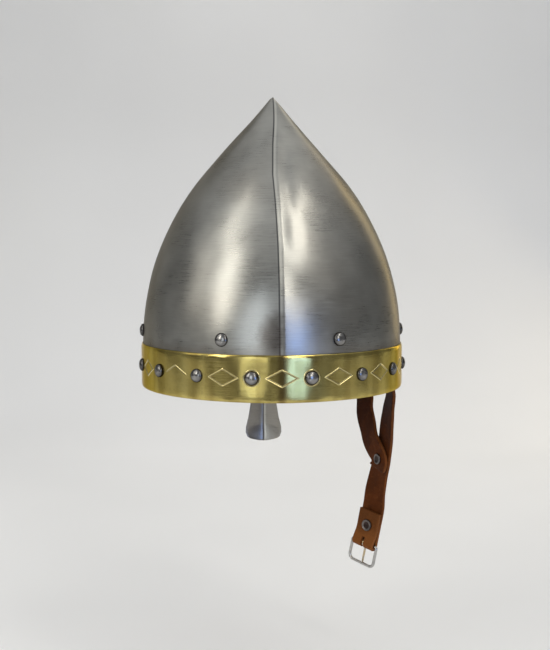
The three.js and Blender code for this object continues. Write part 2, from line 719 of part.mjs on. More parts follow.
const slotReach = foldRadius + strapLeather;
const slotBox = boxCutter(
  new THREE.Vector3(-slotHalfWidth, -slotReach, -slotReach),
  new THREE.Vector3(slotHalfWidth, slotRise, slotReach), strapEnd.matrix);
const leg = legWay();
const tabHoles = strapPlaces.map((place) => [holeCutter(place)]);

mesh('buckle_strap_tab', cut(strapTab(strapPlaces[0]), tabHoles[0]), strapFinish, straps);
mesh('buckle_leg_tab', cut(strapTab(strapPlaces[1]), tabHoles[1]), strapFinish, straps);
const strapCuts = [holeCutter(jointPlace), holeCutter(capPlace), slotBox];
mesh('buckle_strap', cut(ribbon([...way, ...strapFold()]), strapCuts), strapFinish, buckleSide);
mesh('buckle_strap_leg', cut(ribbon(leg), [holeCutter(jointPlace)]), strapFinish, buckleSide);
const backSeat = -strapLeather / 2 - gap;
const jointSeat = legStack + strapLeather / 2 + gap;
rivetAt('buckle_joint_rivet', jointPlace, jointHeadRadius, capHeadHeight, jointSeat, backSeat, buckleSide);
const capSeat = turnBackFace + strapLeather / 2 + gap;
const capFoot = backSeat - foldRadius;
rivetAt('buckle_cap_rivet', capPlace, capHeadRadius, capHeadHeight, capSeat, capFoot, buckleSide);

// Buckle frame: a rounded rectangle of wire whose upper side is the bar.
function frameShape() {
  const corners = [[1, -1, frameCorner], [-1, -1, frameCorner], [-1, 1, barCorner], [1, 1, barCorner]];
  const centre = -frameDrop / 2;
  const points = corners.flatMap(([right, up, corner]) => range(cornerSteps + 1).map((k) => {
    const angle = Math.atan2(up, right) + Math.PI / 4 - (k * Math.PI) / 2 / cornerSteps;
    const x = right * (frameHalfWidth - corner) + corner * Math.cos(angle);
    const y = centre + up * (frameDrop / 2 - corner) + corner * Math.sin(angle);
    return new THREE.Vector3(x, y, 0);
  }));
  return wire(points, new THREE.Vector3(0, 0, 1), wireRadius, true);
}

// Prong: a loop round the bar, then a pin down over the frame's lower side, away from the head.
function prongShape() {
  const reach = wireRadius + gap + prongRadius;
  const loop = range(loopSteps + 1).map((k) => {
    const angle = 2 * Math.PI * prongLoopShare * (1 - k / loopSteps);
    return new THREE.Vector3(0, reach * Math.sin(angle), -reach * Math.cos(angle));
  });
  const tip = new THREE.Vector3(0, -frameDrop - prongOverhang, -reach);
  return wire([...loop, tip], new THREE.Vector3(1, 0, 0), prongRadius, false);
}

const buckle = new THREE.Group();
buckle.position.copy(strapEnd.position);
buckle.quaternion.copy(strapEnd.quaternion);
buckleSide.add(buckle);
mesh('buckle_frame', frameShape(), nickelFinish, buckle);
mesh('buckle_prong', prongShape(), prongFinish, buckle);

// The strap swings inwards about the innermost corners of the leather at the rim.
const rootCorners = [way[0], leg[0]].flatMap(({ middle, across }) => [-1, 1].map((side) => {
  const edge = middle.clone().addScaledVector(across, (side * strapWidth) / 2);
  return edge.sub(roots[0]).dot(inward) + strapLeather / 2;
}));
const swingPoint = roots[0].clone().addScaledVector(rootsLine, rootsSpan / 2);
swingPoint.addScaledVector(inward, Math.max(...rootCorners) + facetSag).setZ(-gap);

// Tongue strap on the wearer's left: the mirror image of the buckle's side down to the joint,
// then its punched end. It is tucked up inside the skull, turned about its own swing line.
const flip = (vector) => new THREE.Vector3(-vector.x, vector.y, vector.z);
const flipStation = ({ middle, across, ...rest }) => (
  { middle: flip(middle), across: flip(across), ...rest });
const leftPlace = ({ point, normal }) => ({ point: flip(point), normal: flip(normal) });
const leftTabs = strapRivets.map((number) => (
  bandPlaces.find((place) => place.word === 'left' && place.number === number)));

const leftSwingPoint = flip(swingPoint);
const leftSwingAxis = flip(rootsLine);
const tucked = new THREE.Group();
tucked.position.copy(leftSwingPoint);
tucked.quaternion.setFromAxisAngle(leftSwingAxis, -tuckTurn);
const tongueSide = new THREE.Group();
tongueSide.position.copy(leftSwingPoint).negate();
tucked.add(tongueSide);
straps.add(tucked);

// The fold lies past the joint. The end runs on from it, bent towards the crown.
const foldReach = legOverlap + strapLeather;
const foldDrop = joint.middle.clone().addScaledVector(jointRun.clone().normalize(), foldReach);
const foldMiddle = flip(foldDrop);
const endRun = flip(jointRun).normalize();
const endAcross = flip(joint.across).addScaledVector(endRun, -flip(joint.across).dot(endRun)).normalize();
const endFace = endRun.clone().cross(endAcross).normalize();
const foldPoint = foldMiddle.clone().addScaledVector(endFace, strapLeather / 2);
const folded = new THREE.Group();
folded.position.copy(foldPoint);
folded.quaternion.setFromAxisAngle(endAcross, -foldTurn);
const tongueEnd = new THREE.Group();
tongueEnd.position.copy(foldPoint).negate();
folded.add(tongueEnd);
tongueSide.add(folded);

const alongEnd = (run) => foldMiddle.clone().addScaledVector(endRun, run);
const tongueWidthShares = [1, 1, 0.8, 0.3];
const tongueRuns = [gap, tongueLength - 2 * tonguePoint, tongueLength - tonguePoint, tongueLength];
const tongueStations = tongueRuns.map((run, i) => (
  { middle: alongEnd(run), across: endAcross, widthShare: tongueWidthShares[i] }));
const punched = range(holeCount).map((k) => holeCutter(
  { point: alongEnd(tongueLength - holeInset - k * holePitch), normal: endFace }, holeRadius));

mesh('tongue_strap_tab', cut(strapTab(leftTabs[0]), [holeCutter(leftTabs[0])]), strapFinish, straps);
mesh('tongue_leg_tab', cut(strapTab(leftTabs[1]), [holeCutter(leftTabs[1])]), strapFinish, straps);
const leftStations = [...way.slice(0, jointIndex + 1), { middle: foldDrop, across: joint.across }];
const leftWay = leftStations.map(flipStation);
const leftJoint = leftPlace(jointPlace);
const leftLeg = leg.map(flipStation);
const leftHole = holeCutter(leftJoint);
mesh('tongue_strap', cut(ribbon(leftWay), [leftHole]), strapFinish, tongueSide);
mesh('tongue_strap_leg', cut(ribbon(leftLeg), [leftHole]), strapFinish, tongueSide);
rivetAt('tongue_joint_rivet', leftJoint, jointHeadRadius, capHeadHeight, jointSeat, backSeat, tongueSide);
mesh('tongue_strap_end', cut(ribbon(tongueStations), punched), strapFinish, tongueEnd);

// Joint places for whoever rigs the helmet: a point on each axis and the axis itself.
helmet.updateMatrixWorld(true);
helmet.userData.joints = {
  buckle_strap_swing: { point: swingPoint, axis: rootsLine },
  buckle_hinge: { point: strapEnd.position, axis: barAcross },
  tongue_strap_swing: { point: leftSwingPoint, axis: leftSwingAxis },
  tongue_strap_fold: {
    point: foldPoint.clone().applyMatrix4(tongueSide.matrixWorld),
    axis: endAcross.clone().transformDirection(tongueSide.matrixWorld),
  },
};

export default helmet;
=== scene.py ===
"""Looks of a conical steel helmet with a brass rim band, a nasal, a liner and a chin strap.

The row frame is the CAD's: metres, +Z up, -Y the back ridge, +Y the nasal, +X the wearer's right.
Lengths inside the shape functions are millimetres, and add_piece turns them into metres.
"""

import bmesh
import bpy
import numpy as np
from bpy.props import BoolProperty, FloatProperty, IntProperty, PointerProperty
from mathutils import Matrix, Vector


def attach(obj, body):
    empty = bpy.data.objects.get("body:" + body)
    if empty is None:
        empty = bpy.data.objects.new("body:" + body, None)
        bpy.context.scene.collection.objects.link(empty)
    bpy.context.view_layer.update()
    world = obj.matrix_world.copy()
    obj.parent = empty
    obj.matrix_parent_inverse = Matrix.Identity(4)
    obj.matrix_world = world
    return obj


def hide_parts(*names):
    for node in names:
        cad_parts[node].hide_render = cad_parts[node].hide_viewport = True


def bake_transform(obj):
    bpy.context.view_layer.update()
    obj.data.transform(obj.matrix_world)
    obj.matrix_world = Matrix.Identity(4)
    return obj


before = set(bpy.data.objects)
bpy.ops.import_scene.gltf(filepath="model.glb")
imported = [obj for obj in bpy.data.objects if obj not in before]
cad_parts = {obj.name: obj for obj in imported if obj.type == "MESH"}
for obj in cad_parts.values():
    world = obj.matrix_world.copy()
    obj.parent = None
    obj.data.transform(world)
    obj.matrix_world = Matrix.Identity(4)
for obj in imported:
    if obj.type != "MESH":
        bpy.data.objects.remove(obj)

bl_info = {
    "name": "Nasal helmet looks",
    "version": (1, 0, 0),
    "blender": (4, 5, 0),
    "location": "3D View > Sidebar > Helmet",
    "description": "Builds the finished surfaces of a riveted steel helmet over its CAD frame",
    "category": "Add Mesh",
}

MM = 0.001

# Skull, as in the CAD: half width and length at the rim, apex, straight wall and tip half angle.
HALF_WIDTH, HALF_LENGTH, APEX, WALL = 103.3, 113.3, 229.0, 34.0
TIP = np.radians(41.3)
STEEL = 1.6
BAND_HEIGHT, BRASS, GAP = 33.8, 0.8, 0.3
RIDGE_RIM, RIDGE_CROWN, RIDGE_FULL = 0.012, 0.045, 120.0
SLOPE = np.tan(TIP)
ARC_RADIUS = (SLOPE * (APEX - WALL) - HALF_WIDTH) / (SLOPE * np.sin(TIP) - 1 + np.cos(TIP))
CONE_START = WALL + ARC_RADIUS * np.sin(TIP)
FACET_SAG = HALF_LENGTH * (1 - np.cos(np.pi / 32))

# The back seam's sideways drift at heights, and the tip's, which starts at its own height.
SEAM_HEIGHTS = (0, 50, 85, 113, 142, 163, 176, 200, 229)
SEAM_DRIFTS = (-1.3, -1.7, -1.7, -1.9, -2.6, -3.4, -2.5, -0.8, 1.2)
TIP_DRIFT, TIP_FROM = 1.2, 185
# Hollows beside the seam: way from it, height, half width, half height and share of the depth.
HOLLOWS = ((9, 172, 4.2, 12, 1.0), (10.5, 148, 5, 15, 0.9), (11.5, 120, 5.5, 14, 0.7))
# Weld bead: depth of its middle inside the outer face, half width and height.
BEAD_DEPTH, BEAD_HALF, BEAD_LIFT = STEEL + 0.75, 1.9, 1.15

# Rim band: widths of its rolled edges, and its mean radius.
ROLL_LOW, ROLL_HIGH, BAND_RADIUS = 2.2, 3.0, 108
# Struck figures: half sizes of a diamond, radius of a ring, and the way round either in the UV.
DIAMOND_LENGTH, DIAMOND_HEIGHT, RING_RADIUS, STRUCK_ROUND = 11.0, 5.9, 5.6, 38
# The diamond that is struck on its upper half only, counted from the back ridge.
HALF_STRUCK = -2

# Rivets: number in the band, heights of the rows, radii, how far the heads sit in, and the liner
# pairs' shares of the way round.
RIVETS = 16
BAND_ROW, LINER_ROW, NASAL_ROW = 17.5, 44.0, 65.0
HEAD_RADIUS, HEAD_HEIGHT, NASAL_HEAD = 5.0, 2.8, 4.0
SHANK, BUTTON, BUTTON_HEIGHT = 2.0, 3.6, 1.2
BAND_SINK, LINER_SINK, LIP = 0.1, 0.2, 0.12
WASHER_HOLE, WASHER_RADIUS, WASHER = 2.3, 4.6, 0.8
LINER_SHARES = (0.0645, 0.235, 0.4355)
# How far a flat seat stands in from the faceted wall, for a millimetre of its radius.
FACET_RISE = np.tan(np.pi / 16)

# Nasal: plate, top, drop, keel, and its outline as heights and half widths.
NASAL_PLATE, NASAL_TOP, NASAL_DROP, KEEL = 2.0, 75.0, 68.0, 5.0
NASAL_OUTLINE = (
    (75, 3.6), (73.6, 6.6), (70, 9.4), (64, 11), (50, 11), (31.6, 11), (30.6, 12.2), (30.3, 15),
    (30.2, 27.6), (29.6, 28.5), (4.4, 28.5), (3.8, 27.6), (3.7, 15), (3.4, 12.2), (2.4, 11),
    (-10, 10.9), (-22, 11), (-36, 11.7), (-48, 13.6), (-57, 15.8), (-62, 16), (-66, 14.6),
    (-67.6, 12.6), (-68, 10))

# Liner leather, headband heights, and the crown ring that the leaves end on.
LINER, LINER_LOW, LINER_TOP, LINER_RADIUS = 2.0, 30.0, 58.0, 100
CROWN = APEX - 81.0
# Leaves: share of the root's radius at the crown, power of the curve, rows before the loop, half
# angle, mean radius, and half width in the UV.
CROWN_SHARE, LEAF_CURVE, LEAF_ROWS = 0.42, 1.9, 41
LEAF_HALF, LEAF_RADIUS, LEAF_WIDE = np.pi / 6, 60, 40
# Stitches: length, width and height, and how far in from the headband's edges.
STITCH, STITCH_INSET = (3.2, 0.8, 0.45), 3.5
# Lace: radius, and its plies' turn for a millimetre and depth.
LACE, PLIES = 1.5, {"twist": 0.9, "lobes": 0.07}

# Chin strap, as in the CAD: half width, thickness and top of the tab, then the bar's place and
# twist, the frame, the prong with its reach past the frame, and the tongue strap's two turns.
STRAP_HALF, STRAP, TAB_TOP = 11.0, 2.8, 29.0
BAR_DROP, DRIFT, LEAN, TWIST = 144.8, 18.9, 6.7, np.radians(33.0)
WIRE, FRAME_HALF, FRAME_DROP = 1.25, 13.1, 18.3
FOLD_RADIUS = WIRE + GAP + STRAP / 2
PRONG, PRONG_PAST = 0.95, 1.4
TUCK, FOLD_TURN = np.radians(165.0), np.radians(40.0)
LEG_OVERLAP = 9.0
# The band rivets that hold a strap, and the height below which its leather bends.
STRAP_RIVETS, BEND_TOP = (5, 6), 4.0
# The strap's way below its root: shares of the bar's drop, drift and lean, and of the twist.
STRAP_WAY = ((0.08, -0.2, -0.42, -0.18), (0.19, -0.04, -0.37, 0.02), (0.29, 0.06, -0.29, 0.18),
             (0.38, 0.13, -0.24, 0.26), (0.484, 0.31, -0.12, 0.41), (0.58, 0.56, 0, 0.59),
             (0.69, 0.74, 0.2, 0.82))
# The joint rivet's station on that way, counted from the root.
JOINT = 5
# The leg's way: shares of the joint's drop, of the way to the root, of the step and of the turn.
LEG_WAY = ((0.17, 0.92, 0.02, 0.2), (0.32, 0.85, 0.03, 0.4), (0.47, 0.79, 0.34, 0.6),
           (0.64, 0.55, 0.78, 0.83), (0.8, 0.37, 1, 1), (1, 0, 1, 1))
# Along the turn-back from the bar: the prong's slot, the cap rivet and the strap's end.
SLOT_RISE, SLOT_HALF, CAP_RISE, TURN_BACK = 5.5, 1.5, 15.7, 28.5
# Caps of the strap's rivets: height, and how far they stand off the leather.
CAP_HEIGHT, CAP_OFF = 2.0, 0.05
# Tongue strap's end: length, holes from the tip, the length over which it narrows, and the way
# along the strap at which it starts.
TONGUE, HOLE_RADIUS, HOLE_FIRST, HOLE_PITCH, HOLES, POINT = 96, 1.7, 22, 11, 5, 18.0
UV_AT_FOLD = 110.0
# Half sizes of the square taken out for a hole and of the square drawn round to it.
HOLE_CORE, HOLE_BLOCK = 1.2, 3.6

SIDES = ((1, "right"), (-1, "left"))
MIRROR = np.array([-1.0, 1, 1])
UP = np.array([0, 0, 1.0])


# Shape functions

def smoothstep(x, low, high):
    """0 up to low, 1 from high on, and three squares less two cubes of the share between."""
    t = np.clip((np.asarray(x, float) - low) / (high - low), 0, 1)
    return t * t * (3 - 2 * t)


def unit(v):
    """Vectors divided by their lengths."""
    v = np.asarray(v, float)
    return v / np.linalg.norm(v, axis=-1, keepdims=True)


def lengths_along(path):
    """Way along a line of points to each of them, from 0 at the first."""
    return np.concatenate([[0], np.cumsum(np.linalg.norm(np.diff(path, axis=0), axis=-1))])


def quarter_round(share):
    """Height of a quarter circle: 0 at an edge, then level and 1 from a share of 1 inwards."""
    return np.sqrt(1 - (1 - np.clip(share, 0, 1)) ** 2)


def uv_grid(u, v):
    """UV pairs in metres, from millimetres along and across that fill each other out to a grid."""
    return np.stack(np.broadcast_arrays(u, v), -1) * MM


def profile_share(z):
    """Share of the rim's radius: 1 up the wall, then an arc, then a straight cone to the apex."""
    z = np.asarray(z, float)
    over = np.clip(z - WALL, 0, ARC_RADIUS)
    arc = 1 - (ARC_RADIUS - np.sqrt(ARC_RADIUS ** 2 - over ** 2)) / HALF_WIDTH
    return np.where(z < CONE_START, arc, (APEX - z) * SLOPE / HALF_WIDTH)


def skull_point(turn, z):
    """Ellipse at each level, lifted towards the front and back ridges. turn is 0 at the back."""
    turn, z = np.broadcast_arrays(np.asarray(turn, float), np.asarray(z, float))
    ridge = RIDGE_RIM + (RIDGE_CROWN - RIDGE_RIM) * smoothstep(z, BAND_HEIGHT, RIDGE_FULL)
    share = profile_share(z) * (1 + ridge * (1 - np.abs(np.sin(turn))) ** 4)
    x = HALF_WIDTH * share * np.sin(turn)
    y = -HALF_LENGTH * share * np.cos(turn)
    return np.stack([x, y, z], -1)


def skull_normal(turn, z):
    """Outward normal: the cross product of short steps along the level and up the wall."""
    step = 0.001
    along = skull_point(turn + np.pi * step, z) - skull_point(turn - np.pi * step, z)
    up = skull_point(turn, z + APEX * step) - skull_point(turn, z - APEX * step)
    return unit(np.cross(along, up))


def wall_point(turn, z, depth):
    """Point at a depth inside the skull's outer face. A negative depth lies outside it."""
    turn, z, depth = np.broadcast_arrays(
        np.asarray(turn, float), np.asarray(z, float), np.asarray(depth, float))
    return skull_point(turn, z) - skull_normal(turn, z) * depth[..., None]


def turn_at(share, z):
    """Turn at a share of the way round a level, from the back ridge, by arc length."""
    turns = np.linspace(0, np.pi, 721)
    lengths = lengths_along(skull_point(turns, z))
    return np.sign(share) * np.interp(2 * abs(share) * lengths[-1], lengths, turns)


def level_metric(turn, z):
    """Millimetres along the level for one radian of turn."""
    step = 0.001
    return np.linalg.norm(skull_point(turn + step, z) - skull_point(turn - step, z)) / (2 * step)


def spline(points, count):
    """Catmull-Rom curve through the points, count samples to a span."""
    p = np.asarray(points, float)
    p = np.concatenate([[2 * p[0] - p[1]], p, [2 * p[-1] - p[-2]]])
    t = np.linspace(0, 1, count, endpoint=False)[None, :, None]
    a, b, c, d = (p[k:len(p) - 3 + k][:, None] for k in range(4))
    spans = 0.5 * (2 * b + (c - a) * t + (2 * a - 5 * b + 4 * c - d) * t ** 2
                   + (3 * b - a - 3 * c + d) * t ** 3)
    return np.concatenate([spans.reshape(-1, p.shape[-1]), p[-2:-1]])


def about(axis, angle, origin, points):
    """Points turned by an angle about an axis through an origin."""
    axis, rel = unit(axis), np.asarray(points, float) - origin
    cosine, sine = np.cos(angle), np.sin(angle)
    dot = (rel @ axis)[..., None] * axis
    return origin + rel * cosine + np.cross(axis, rel) * sine + dot * (1 - cosine)


# Mesh builders. Each returns points, four-cornered faces and one UV pair for each point.

def sheet_faces(rows, columns):
    """Four-cornered cells between the points of a grid, by the points' numbers."""
    index = np.arange(rows * columns).reshape(rows, columns)
    cells = [index[:-1, :-1], index[:-1, 1:], index[1:, 1:], index[1:, :-1]]
    return np.stack(cells, -1)


def plate(front, back, uv, closed=False, keep=None):
    """Closed body between two grids. Cells not kept become holes, and open edges get walls."""
    rows, columns = front.shape[:2]
    cells = sheet_faces(rows, columns)
    keep = np.ones(cells.shape[:2], bool) if keep is None else keep
    around = np.pad(keep, 1)
    if closed:
        around[1:-1, 0], around[1:-1, -1] = keep[:, -1], keep[:, 0]
    count = rows * columns
    faces = [cells[keep], cells[keep][:, ::-1] + count]
    beside = [around[:-2, 1:-1], around[1:-1, 2:], around[2:, 1:-1], around[1:-1, :-2]]
    for k, neighbour in enumerate(beside):
        edge = cells[keep & ~neighbour]
        p, q = edge[:, k], edge[:, (k + 1) % 4]
        faces.append(np.stack([q, p, p + count, q + count], -1))
    points = np.concatenate([front.reshape(-1, 3), back.reshape(-1, 3)])
    pairs = np.tile(uv.reshape(-1, 2), (2, 1))
    return points, np.concatenate(faces), pairs


def skin(grid, uv):
    """Surface of one grid whose ends meet or shrink to points, so that it closes on merging."""
    return grid.reshape(-1, 3), sheet_faces(*grid.shape[:2]).reshape(-1, 4), uv.reshape(-1, 2)


def lathe(profile, origin, axis, sides, wobble=0.0, seed=0.0):
    """Profile of (radius, height) pairs turned about an axis. The wobble dents it a little."""
    profile = np.asarray(profile, float)
    angle = np.linspace(0, 2 * np.pi, sides + 1)
    across, other = frame_of(axis)
    radius = profile[:, :1] * (1 + 0.5 * wobble * np.sin(3 * angle + seed))
    lift = wobble * np.sin(2 * angle + 2.3 * seed) * profile[:, :1]
    grid = (origin + radius[..., None] * (np.cos(angle)[:, None] * across
                                          + np.sin(angle)[:, None] * other)
            + (profile[:, 1:] + lift)[..., None] * unit(axis))
    return skin(grid, uv_grid(angle[None] * HEAD_RADIUS, lengths_along(profile)[:, None]))


def frame_of(axis):
    """Two directions at right angles to an axis and to each other."""
    axis = unit(axis)
    guide = UP if abs(axis[2]) < 0.9 else np.array([1.0, 0, 0])
    across = unit(np.cross(guide, axis))
    return across, np.cross(axis, across)


def sweep(path, guide, radius, sides, closed, twist=0.0, lobes=0.0):
    """Round section along a path, open ends rounded. Lobes twist round it like a cord's plies."""
    path = np.asarray(path, float)
    radius = np.broadcast_to(np.asarray(radius, float), len(path)).copy()
    if closed:
        path, radius = np.concatenate([path, path[:1]]), np.append(radius, radius[0])
        run = unit(np.roll(path[:-1], -1, 0) - np.roll(path[:-1], 1, 0))
        run = np.concatenate([run, run[:1]])
    else:
        run = unit(np.gradient(path, axis=0))
        quarter = np.linspace(0, np.pi / 2, 5)[:-1]
        cap, reach, rings = np.sin(quarter), np.cos(quarter), len(quarter)
        head = path[0] - run[0] * (radius[0] * reach)[:, None]
        tail = path[-1] + run[-1] * (radius[-1] * reach[::-1])[:, None]
        path = np.concatenate([head, path, tail])
        run = np.concatenate([np.repeat(run[:1], rings, 0), run, np.repeat(run[-1:], rings, 0)])
        radius = np.concatenate([radius[0] * cap, radius, radius[-1] * cap[::-1]])
    guide = np.broadcast_to(np.asarray(guide, float), path.shape)
    side = unit(np.cross(run, guide))
    up = np.cross(side, run)
    angle = np.linspace(0, 2 * np.pi, sides + 1)
    length = lengths_along(path)
    phase = 2 * angle[None] + twist * length[:, None]
    swell = radius[:, None] * (1 + lobes * np.cos(phase))
    grid = path[:, None] + swell[..., None] * (
        np.cos(angle)[:, None] * side[:, None] + np.sin(angle)[:, None] * up[:, None])
    return skin(grid, uv_grid(length[:, None], angle[None] * radius.max()))


def beads(centres, along, out, length, width, height):
    """Row of long rounded bumps, one for each centre, such as stitches."""
    lat, lon = np.meshgrid(np.linspace(0, np.pi, 6), np.linspace(0, 2 * np.pi, 9), indexing="ij")
    side = np.cross(out, along)
    shape = [np.cos(lat) * length / 2, np.sin(lat) * np.cos(lon) * width / 2,
             np.sin(lat) * np.sin(lon) * height]
    grid = sum(axis[:, None, None] * part[None, ..., None]
               for axis, part in zip((along, side, out), shape))
    grid = grid + centres[:, None, None]
    cells = sheet_faces(*lat.shape).reshape(-1, 4)
    faces = (cells[None] + np.arange(len(centres))[:, None, None] * lat.size).reshape(-1, 4)
    uv = np.tile(np.stack([lat, lon], -1).reshape(-1, 2) * MM, (len(centres), 1))
    return grid.reshape(-1, 3), faces, uv


def join(parts):
    """One set of points, faces and UVs from several."""
    offsets = np.cumsum([0] + [len(points) for points, _, _ in parts])
    faces = [f + offset for (_, f, _), offset in zip(parts, offsets)]
    return (np.concatenate([p for p, _, _ in parts]), np.concatenate(faces),
            np.concatenate([u for _, _, u in parts]))


def add_piece(name, shape, material, nodes=(), body="helmet", sharp=40.0):
    """Object at the origin from a built shape, merged where its points meet, faces outwards."""
    points, faces, uv = shape
    mesh = bpy.data.meshes.new(name)
    mesh.vertices.add(len(points))
    mesh.vertices.foreach_set("co", (points * MM).astype(np.float32).ravel())
    mesh.loops.add(faces.size)
    mesh.loops.foreach_set("vertex_index", faces.astype(np.int32).ravel())
    mesh.polygons.add(len(faces))
    mesh.polygons.foreach_set("loop_start", np.arange(0, faces.size, 4, dtype=np.int32))
    layer = mesh.uv_layers.new(name="UVMap")
    layer.data.foreach_set("uv", uv[faces.ravel()].astype(np.float32).ravel())
    mesh.update(calc_edges=True)
    work = bmesh.new()
    work.from_mesh(mesh)
    bmesh.ops.remove_doubles(work, verts=work.verts, dist=2e-6)
    bmesh.ops.dissolve_degenerate(work, edges=work.edges, dist=1e-7)
    bmesh.ops.recalc_face_normals(work, faces=work.faces)
    work.to_mesh(mesh)
    work.free()
    mesh.shade_smooth()
    mesh.set_sharp_from_angle(angle=np.radians(sharp))
    mesh.materials.append(material)
    made = bpy.data.objects.new(name, mesh)
    bpy.context.scene.collection.objects.link(made)
    if body:
        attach(made, body)
    if nodes:
        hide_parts(*nodes)
    return made


# Materials

class Graph:
    """Node graph of one material, built by calls that return output sockets."""

    def __init__(self, name, metallic=0.0, **constants):
        self.material = bpy.data.materials.new(name)
        self.material.use_nodes = True
        self.nodes = self.material.node_tree.nodes
        self.links = self.material.node_tree.links
        self.shader = self.nodes["Principled BSDF"]
        self.tone = None
        self.shader.inputs["Metallic"].default_value = metallic
        for label, value in constants.items():
            self.shader.inputs[label.replace("_", " ")].default_value = value

    def add(self, kind, inputs, **settings):
        node = self.nodes.new(kind)
        for key, value in settings.items():
            setattr(node, key, value)
        for key, value in inputs.items():
            if isinstance(value, bpy.types.NodeSocket):
                self.links.new(value, node.inputs[key])
            else:
                node.inputs[key].default_value = value
        return node

    def place(self, kind="UV", scale=(1, 1, 1), turn=0.0, shift=(0, 0, 0)):
        source = self.add("ShaderNodeTexCoord", {}).outputs[kind]
        inputs = {"Vector": source, "Scale": scale, "Rotation": (0, 0, turn), "Location": shift}
        return self.add("ShaderNodeMapping", inputs).outputs["Vector"]

    def noise(self, vector, scale=1.0, detail=2.0, roughness=0.55, distortion=0.0):
        inputs = {"Vector": vector, "Scale": scale, "Detail": detail, "Roughness": roughness,
                  "Distortion": distortion}
        return self.add("ShaderNodeTexNoise", inputs).outputs["Fac"]

    def cloud(self, scale, detail, **place):
        """Even noise in the object's own space."""
        return self.noise(self.place("Object", **place), scale, detail)

    def streaks(self, scale, detail=2.0, turn=0.0):
        """Noise drawn out along the UV, with a scale for each of its directions."""
        return self.noise(self.place(scale=(*scale, 1), turn=turn), detail=detail)

    def cells(self, scale):
        inputs = {"Vector": self.place("Object"), "Scale": scale}
        return self.add("ShaderNodeTexVoronoi", inputs).outputs["Distance"]

    def mix(self, share, a, b):
        a, b = ((*v, 1) if isinstance(v, tuple) else v for v in (a, b))
        return self.add("ShaderNodeMix", {0: share, 6: a, 7: b}, data_type="RGBA").outputs[2]

    def math(self, operation, a, b=0.0):
        return self.add("ShaderNodeMath", {0: a, 1: b}, operation=operation).outputs[0]

    def base(self, low, high, value, *span):
        """Starts the tone between two colours by a value."""
        self.tone = self.mix(self.span(value, *span), low, high)

    def lay(self, share, colour):
        """Lays a colour over the tone by a share."""
        self.tone = self.mix(share, self.tone, colour)

    def wash(self, colour, value, *span):
        """Lays a colour over the tone by a share that follows a value."""
        self.lay(self.span(value, *span), colour)

    def total(self, first, second):
        return self.math("ADD", self.span(*first), self.span(*second))

    def ragged(self, value, cloud, width):
        """Value moved either way by a cloud, so that its edge isn't even."""
        return self.math("ADD", value, self.span(cloud, 0.3, 0.7, -width, width))

    def span(self, value, low, high, to_low=0.0, to_high=1.0):
        inputs = {"Value": value, "From Min": low, "From Max": high, "To Min": to_low,
                  "To Max": to_high}
        return self.add("ShaderNodeMapRange", inputs).outputs["Result"]

    def part(self, axis, kind="UV"):
        return self.add("ShaderNodeSeparateXYZ", {"Vector": self.place(kind)}).outputs[axis]

    def bump(self, height, distance, strength=1.0, normal=None):
        inputs = {"Height": height, "Distance": distance, "Strength": strength}
        if normal is not None:
            inputs["Normal"] = normal
        return self.add("ShaderNodeBump", inputs).outputs["Normal"]

    def finish(self, roughness, normal):
        ends = {"Base Color": self.tone, "Roughness": roughness, "Normal": normal}
        for label, socket in ends.items():
            self.links.new(socket, self.shader.inputs[label])
        return self.material


def once(maker):
    """Makes a material on the first call and hands out the same one afterwards."""
    made = []

    def give():
        if not made:
            made.append(maker())
        return made[0]
    return give


@once
def steel_material():
    """Satin steel: fine scratches along the level and across it, cloudy polish, and stains.

    The dark joint line and the pale strip on its right, a painted highlight, follow the UV's u,
    which is 0 on the back seam and grows round the right half."""
    g = Graph("steel_brushed", metallic=1.0, Specular_Tint=(0.40, 0.37, 0.32, 1))
    fine = g.streaks((45, 2600), 3.0)
    slant = g.streaks((70, 1500), turn=0.45)
    swirl = g.streaks((120, 900), turn=-0.7)
    cloud = g.cloud(26.0, 4.0)
    patch = g.cloud(9.0, 2.0, shift=(3, 1, 2))
    lines = g.math("ADD", g.math("MULTIPLY", fine, 0.55), g.math("MULTIPLY", slant, 0.45))
    g.base((0.285, 0.28, 0.26), (0.39, 0.385, 0.36), cloud, 0.35, 0.68)
    g.wash((0.37, 0.325, 0.265), patch, 0.5, 0.75, 0.0, 0.35)
    g.wash((0.56, 0.55, 0.51), lines, 0.42, 0.62, 0.0, 0.22)
    run = g.part(0)
    # Painted highlight: a pale strip 0.4 to 3 mm right of the back seam, with a cloudy share,
    # where the seam's edge would catch the light.
    strip = g.math("MULTIPLY", g.span(run, 0.0004, 0.0009), g.span(run, 0.0030, 0.0018))
    seam_highlight = g.math("MULTIPLY", strip, g.span(cloud, 0.3, 0.6, 0.45, 0.85))
    g.lay(seam_highlight, (0.58, 0.57, 0.52))
    g.wash((0.05, 0.05, 0.055), g.math("ABSOLUTE", run), 0.0003, 0.0008, 0.8, 0.0)
    place = g.place("Object", shift=(0.005, 0.113, -0.026), scale=(1, 1, 0.55))
    far = g.add("ShaderNodeVectorMath", {0: place}, operation="LENGTH").outputs["Value"]
    g.wash((0.11, 0.09, 0.075), g.ragged(far, cloud, 0.006), 0.003, 0.011, 0.75, 0.0)
    # The steel is darker below a ragged line at 34 to 41 mm height: just above the band's top
    # edge, and on the nasal's lower part.
    steel_low_tone = g.ragged(g.part(2, "Object"), cloud, 0.004)
    g.wash((0.16, 0.13, 0.10), steel_low_tone, 0.034, 0.041, 0.4, 0)
    rough = g.total((cloud, 0.3, 0.7, 0.22, 0.31), (lines, 0.35, 0.65, 0, 0.09))
    normal = g.bump(lines, 0.00012, 0.35)
    normal = g.bump(g.math("ADD", swirl, cloud), 0.0004, 0.10, normal)
    return g.finish(rough, normal)


